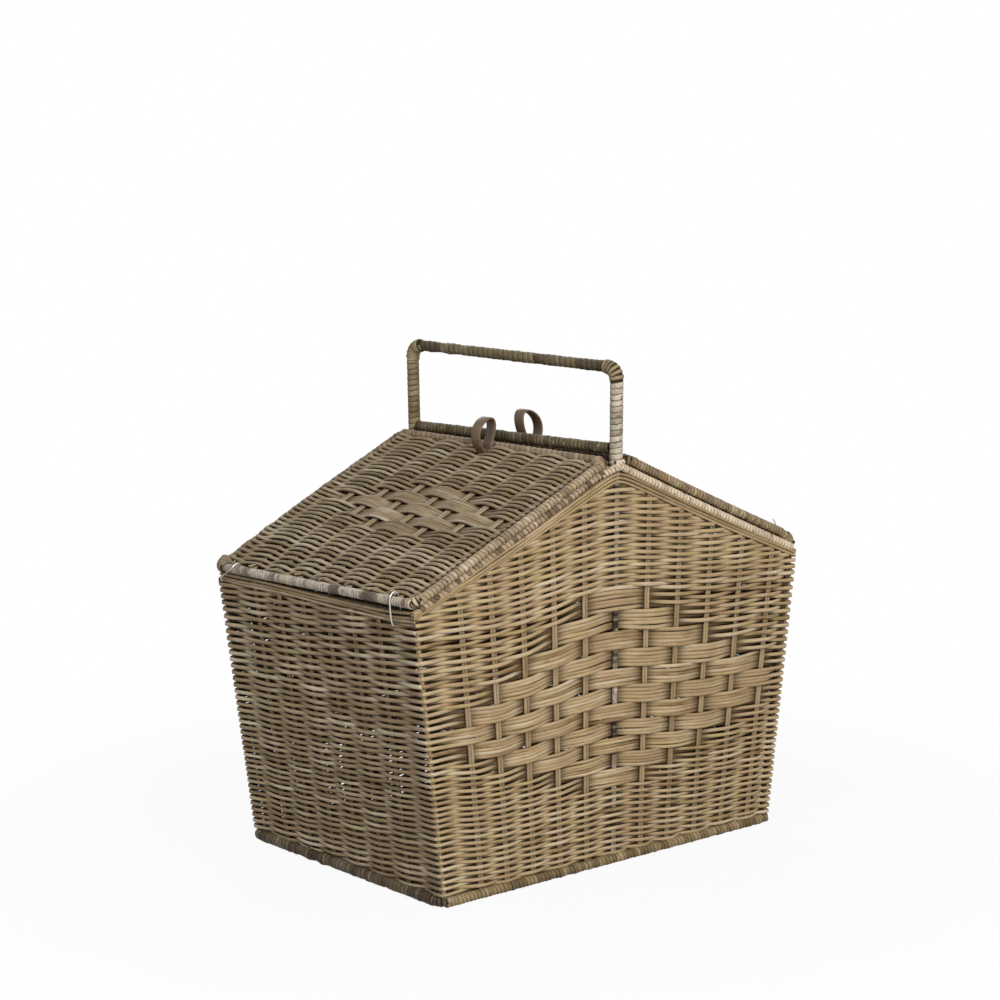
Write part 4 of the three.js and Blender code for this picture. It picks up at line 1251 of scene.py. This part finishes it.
for name, kind, peel in (("handle_bar", "bar", "bar"), ("ridge_bar", "ridge", "ridgeBar")):
    front, back = rodEnds(name, alongY, 0.0)
    drop = handle[kind + "Drop"]
    path = straightPath(front - alongZ * drop["front"], back - alongZ * drop["back"])
    radius = handle[kind + "Radius"]
    width = handle[kind + "Peel"]
    settle(wrap(name + "_peel", path, radius, peel, width, handle["thickness"], handle["lumps"]),
           "basket", "wrapped_handle", name)
print("basket: handle wrapped")


# Floor of the basket

floorWeave = {"depth": 1.55 * mm, "width": 3.1 * mm, "thickness": 2.7 * mm, "rowPitch": 3.12 * mm,
              "stakePitch": 37 * mm, "stakes": 5, "steps": 6, "sides": 6, "seed": 51,
              "girth": (0.95, 1.03), "number": 5000.0, "stakeNumber": 5200.0}


def weaveFloor():
    rng = random.Random(floorWeave["seed"])
    low, high = boxOf("floor_panel")
    level = (low.z + high.z) / 2
    rows = []
    count = int((high.y - low.y) / floorWeave["rowPitch"])
    for row in range(count):
        y = low.y + (row + 0.5) * (high.y - low.y) / count
        stations = [(low.x, 0.0)]
        for stake in range(-floorWeave["stakes"], floorWeave["stakes"] + 1):
            stations.append((stake * floorWeave["stakePitch"], 1 if (stake + row) % 2 == 0 else -1))
        stations.append((high.x, 0.0))
        walk = throughStations(stations, floorWeave["steps"])
        points = [(Vector((x, y, level)), alongZ, side) for x, side in walk]
        rows.append((points, floorWeave["number"] + row, rng.uniform(*floorWeave["girth"])))
    for stake in range(-floorWeave["stakes"], floorWeave["stakes"] + 1):
        x = stake * floorWeave["stakePitch"]
        line = [(Vector((x, mix(low.y, high.y, t), level)), alongZ, 0.0) for t in shares(2)]
        rows.append((line, floorWeave["stakeNumber"] + stake, 1.0))
    return canes("floor_weave", rows, finishes["wall"], floorWeave["width"], floorWeave["thickness"],
                 floorWeave["sides"], floorWeave["depth"])


settle(weaveFloor(), "basket", "woven_rattan", "floor_panel")


# Leather pulls: a strap looped through two slots under the ridge rim

pull = {
    "width": 13 * mm, "thickness": 2 * mm, "slots": 9 * mm,
    "height": {"left": 24.5 * mm, "right": 27.5 * mm}, "spread": {"left": 21 * mm, "right": 26.5 * mm},
    "setback": 13 * mm, "y": 6 * mm, "lidFace": 3.5 * mm, "edge": 0.5 * mm,
    "underGap": 0.3 * mm, "steps": 24,
    "shoulder": 0.4,             # how soon the strap rises from its slots
}


def pullLoop(hand):  # middle line of the strap, along the lid and square to it
    half = pull["slots"] / 2
    middle = lidLength - pull["setback"]
    under = -pull["lidFace"] - pull["underGap"] - pull["thickness"] / 2
    foot = pull["lidFace"] + pull["thickness"]
    swell = (pull["spread"][hand] / 2 - half / 8) / 0.75
    rising = []
    for t in shares(pull["steps"])[1:]:
        x = -((1 - t) ** 3 * half + 3 * t * (1 - t) ** 2 * swell + 3 * t * t * (1 - t) * swell)
        y = pull["height"][hand] * (3 * t * (1 - t) ** 2 * pull["shoulder"] + 3 * t * t * (1 - t) + t ** 3)
        rising.append((x, y))
    falling = [(-x, y) for x, y in rising[-2::-1]]
    loop = [(middle - half, under), (middle - half, foot)]
    loop += [(middle + x + y * math.tan(lidPitch), foot + y) for x, y in rising + falling]
    loop += [(middle + half, foot), (middle + half, under)]
    return loop


def strapMesh(name, hand, facing):
    place, out = lidPlacer(facing)
    loop = pullLoop(hand)
    w, t, e = pull["width"] / 2, pull["thickness"] / 2, pull["edge"]
    section = [(t - e, w), (t, w - e), (t, e - w), (t - e, -w),
               (e - t, -w), (-t, e - w), (-t, w - e), (e - t, w)]
    places, faces = [], []
    for i, (s, h) in enumerate(loop):
        back = loop[i - 1]
        ahead = loop[(i + 1) % len(loop)]
        into = Vector((s - back[0], h - back[1])).normalized()
        away = Vector((ahead[0] - s, ahead[1] - h)).normalized()
        left = Vector((-into.y - away.y, into.x + away.x)).normalized()
        spread = max(left.dot(Vector((-into.y, into.x))), 0.5)
        for a, b in section:
            places.append(place(facing * pull["y"] + b, s + left.x * a / spread, h + left.y * a / spread))
    ring = len(section)
    for i in range(len(loop)):
        for k in range(ring):
            a, b = i * ring, ((i + 1) % len(loop)) * ring
            faces.append((a + k, a + (k + 1) % ring, b + (k + 1) % ring, b + k))
    mesh = bpy.data.meshes.new(name)
    mesh.from_pydata(places, [], faces)
    mesh.polygons.foreach_set("use_smooth", [True] * len(mesh.polygons))
    mesh.materials.append(leather)
    return show(name, mesh)


leather = leatherMaterial()
for hand, facing in handSigns:
    settle(strapMesh(hand + "_pull_strap", hand, facing), hand + "_lid", "leather", hand + "_lid_pull")


# Hinge loops: wire round the lid's eave rim, drawn down the wall

loopWire = {
    "radius": 5.55 * mm, "wire": 1.4 * mm, "drop": 16.6 * mm,
    "shortDrop": {"left_back": 8 * mm},
    "rise": {"right_front": 13 * mm, "left_front": 2.2 * mm},  # loops that stand up loose
    "slant": {"left_back": 22 * mm},      # and one that lies aslant
    "steps": 48,
}
wire = wireMaterial()


def wireLoop(name, which, facing, y):
    rise = loopWire["rise"].get(which, 0.0)
    slant = loopWire["slant"].get(which, 0.0)
    drop = loopWire["shortDrop"].get(which, loopWire["drop"])
    sag = eaveSag(facing, y)
    points = []
    for t in shares(loopWire["steps"]):
        angle = 2 * math.pi * t
        x = loopWire["radius"] * math.cos(angle)
        z = loopWire["radius"] * math.sin(angle)
        down = drop * ease(0.5 - 0.9 * math.sin(angle))
        up = rise * max(math.sin(angle), 0.0)
        spot = Vector((facing * (hingeX + x - down * math.sin(sideLean)), y + slant * down / drop,
                       hingeZ + z + up - down * math.cos(sideLean)))
        points.append((spot + sag, alongY, 0.0))
    return canes(name, [(points, 1.0, 1.0)], wire, loopWire["wire"], loopWire["wire"])


for hand, facing in handSigns:
    for end, y in endSigns:
        node = hand + "_" + end + "_hinge_loop"
        settle(wireLoop(node + "_wire", hand + "_" + end, facing, middleOf(node).y), "basket", "wire", node)
print("basket: pulls and loops made")


# Floor, light and camera

studio = {
    "eye": Vector((-1481.82, -1750.96, 674.42)) * mm, "yaw": -39.98, "pitch": 8.635, "roll": -0.53,
    "lens": 87.36, "sensor": 36, "farthest": 100, "target": Vector((0, 0, 0.2)),
    "keyPlace": Vector((-0.5, -2.0, 1.25)), "keySize": 1.2, "keyPower": 52.0,
    "fillPlace": Vector((-2.2, -0.6, 1.9)), "fillSize": 1.2, "fillPower": 25.5,
    "backPlace": Vector((1.3, 2.1, 1.6)), "backSize": 1.6, "backPower": 18.0,
    "ambient": 0.27, "floorSize": 30.0, "floorGrey": (0.5, 0.5, 0.5, 1), "white": (1, 1, 1, 1),
    "floorFade": (0.25, 0.8), "floorGlow": 0.93,  # how the floor turns white away from the basket
}


def areaLight(name):
    lamp = bpy.data.lights.new(name, "AREA")
    lamp.shape = "DISK"
    lamp.size = studio[name + "Size"]
    lamp.energy = studio[name + "Power"]
    place = studio[name + "Place"]
    light = show(name, lamp)
    light.location = place
    light.rotation_euler = (studio["target"] - place).to_track_quat("-Z", "Y").to_euler()


def shownRays(tree):  # what the camera, gloss and glass see
    ray = add(tree, "ShaderNodeLightPath").outputs
    direct = calc(tree, "MAXIMUM", ray["Is Camera Ray"], ray["Is Transmission Ray"])
    return calc(tree, "MAXIMUM", direct, ray["Is Glossy Ray"])


def paleFloor():
    size = studio["floorSize"] / 2
    mesh = bpy.data.meshes.new("floor")
    corners = [(-size, -size, 0), (size, -size, 0), (size, size, 0), (-size, size, 0)]
    mesh.from_pydata(corners, [], [(0, 1, 2, 3)])
    material = bpy.data.materials.new("pale_floor")
    material.use_nodes = True
    tree = material.node_tree
    tree.nodes.clear()
    matt = add(tree, "ShaderNodeBsdfDiffuse", {"Color": studio["floorGrey"]})
    glow = add(tree, "ShaderNodeEmission", {"Color": studio["white"], "Strength": 1.0})
    spot = add(tree, "ShaderNodeTexCoord").outputs["Object"]
    away = add(tree, "ShaderNodeVectorMath", {0: spot}, operation="LENGTH").outputs["Value"]
    pale = between(tree, ramp(tree, away, *studio["floorFade"]), (studio["floorGlow"], 1.0))
    seen = calc(tree, "MULTIPLY", shownRays(tree), pale)
    both = add(tree, "ShaderNodeMixShader", {0: seen, 1: matt.outputs[0], 2: glow.outputs[0]})
    add(tree, "ShaderNodeOutputMaterial", {"Surface": both.outputs[0]})
    mesh.materials.append(material)
    floor = show("floor", mesh)


def paleWorld():
    world = bpy.data.worlds.new("studio")
    bpy.context.scene.world = world
    world.use_nodes = True
    tree = world.node_tree
    tree.nodes.clear()
    level = between(tree, shownRays(tree), (studio["ambient"], 1.0))
    sky = add(tree, "ShaderNodeBackground", {"Color": studio["white"], "Strength": level})
    add(tree, "ShaderNodeOutputWorld", {"Surface": sky.outputs[0]})


def placeCamera():
    yaw, pitch, roll = (math.radians(studio[part]) for part in ("yaw", "pitch", "roll"))
    back = Vector((math.sin(yaw) * math.cos(pitch), -math.cos(yaw) * math.cos(pitch), math.sin(pitch)))
    right = (-back).cross(alongZ).normalized()
    up = right.cross(-back)
    level = Matrix((right * math.cos(roll) + up * math.sin(roll),
                    up * math.cos(roll) - right * math.sin(roll), back))
    lens = bpy.data.cameras.new("camera")
    lens.lens = studio["lens"]
    lens.sensor_width = studio["sensor"]
    lens.clip_end = studio["farthest"]
    camera = show("camera", lens)
    camera.matrix_world = Matrix.Translation(studio["eye"]) @ level.transposed().to_4x4()
    bpy.context.scene.camera = camera


paleFloor()
paleWorld()
for lamp in ("key", "fill", "back"):
    areaLight(lamp)
placeCamera()
bpy.context.scene.view_settings.view_transform = "Standard"
print("basket: stage set")
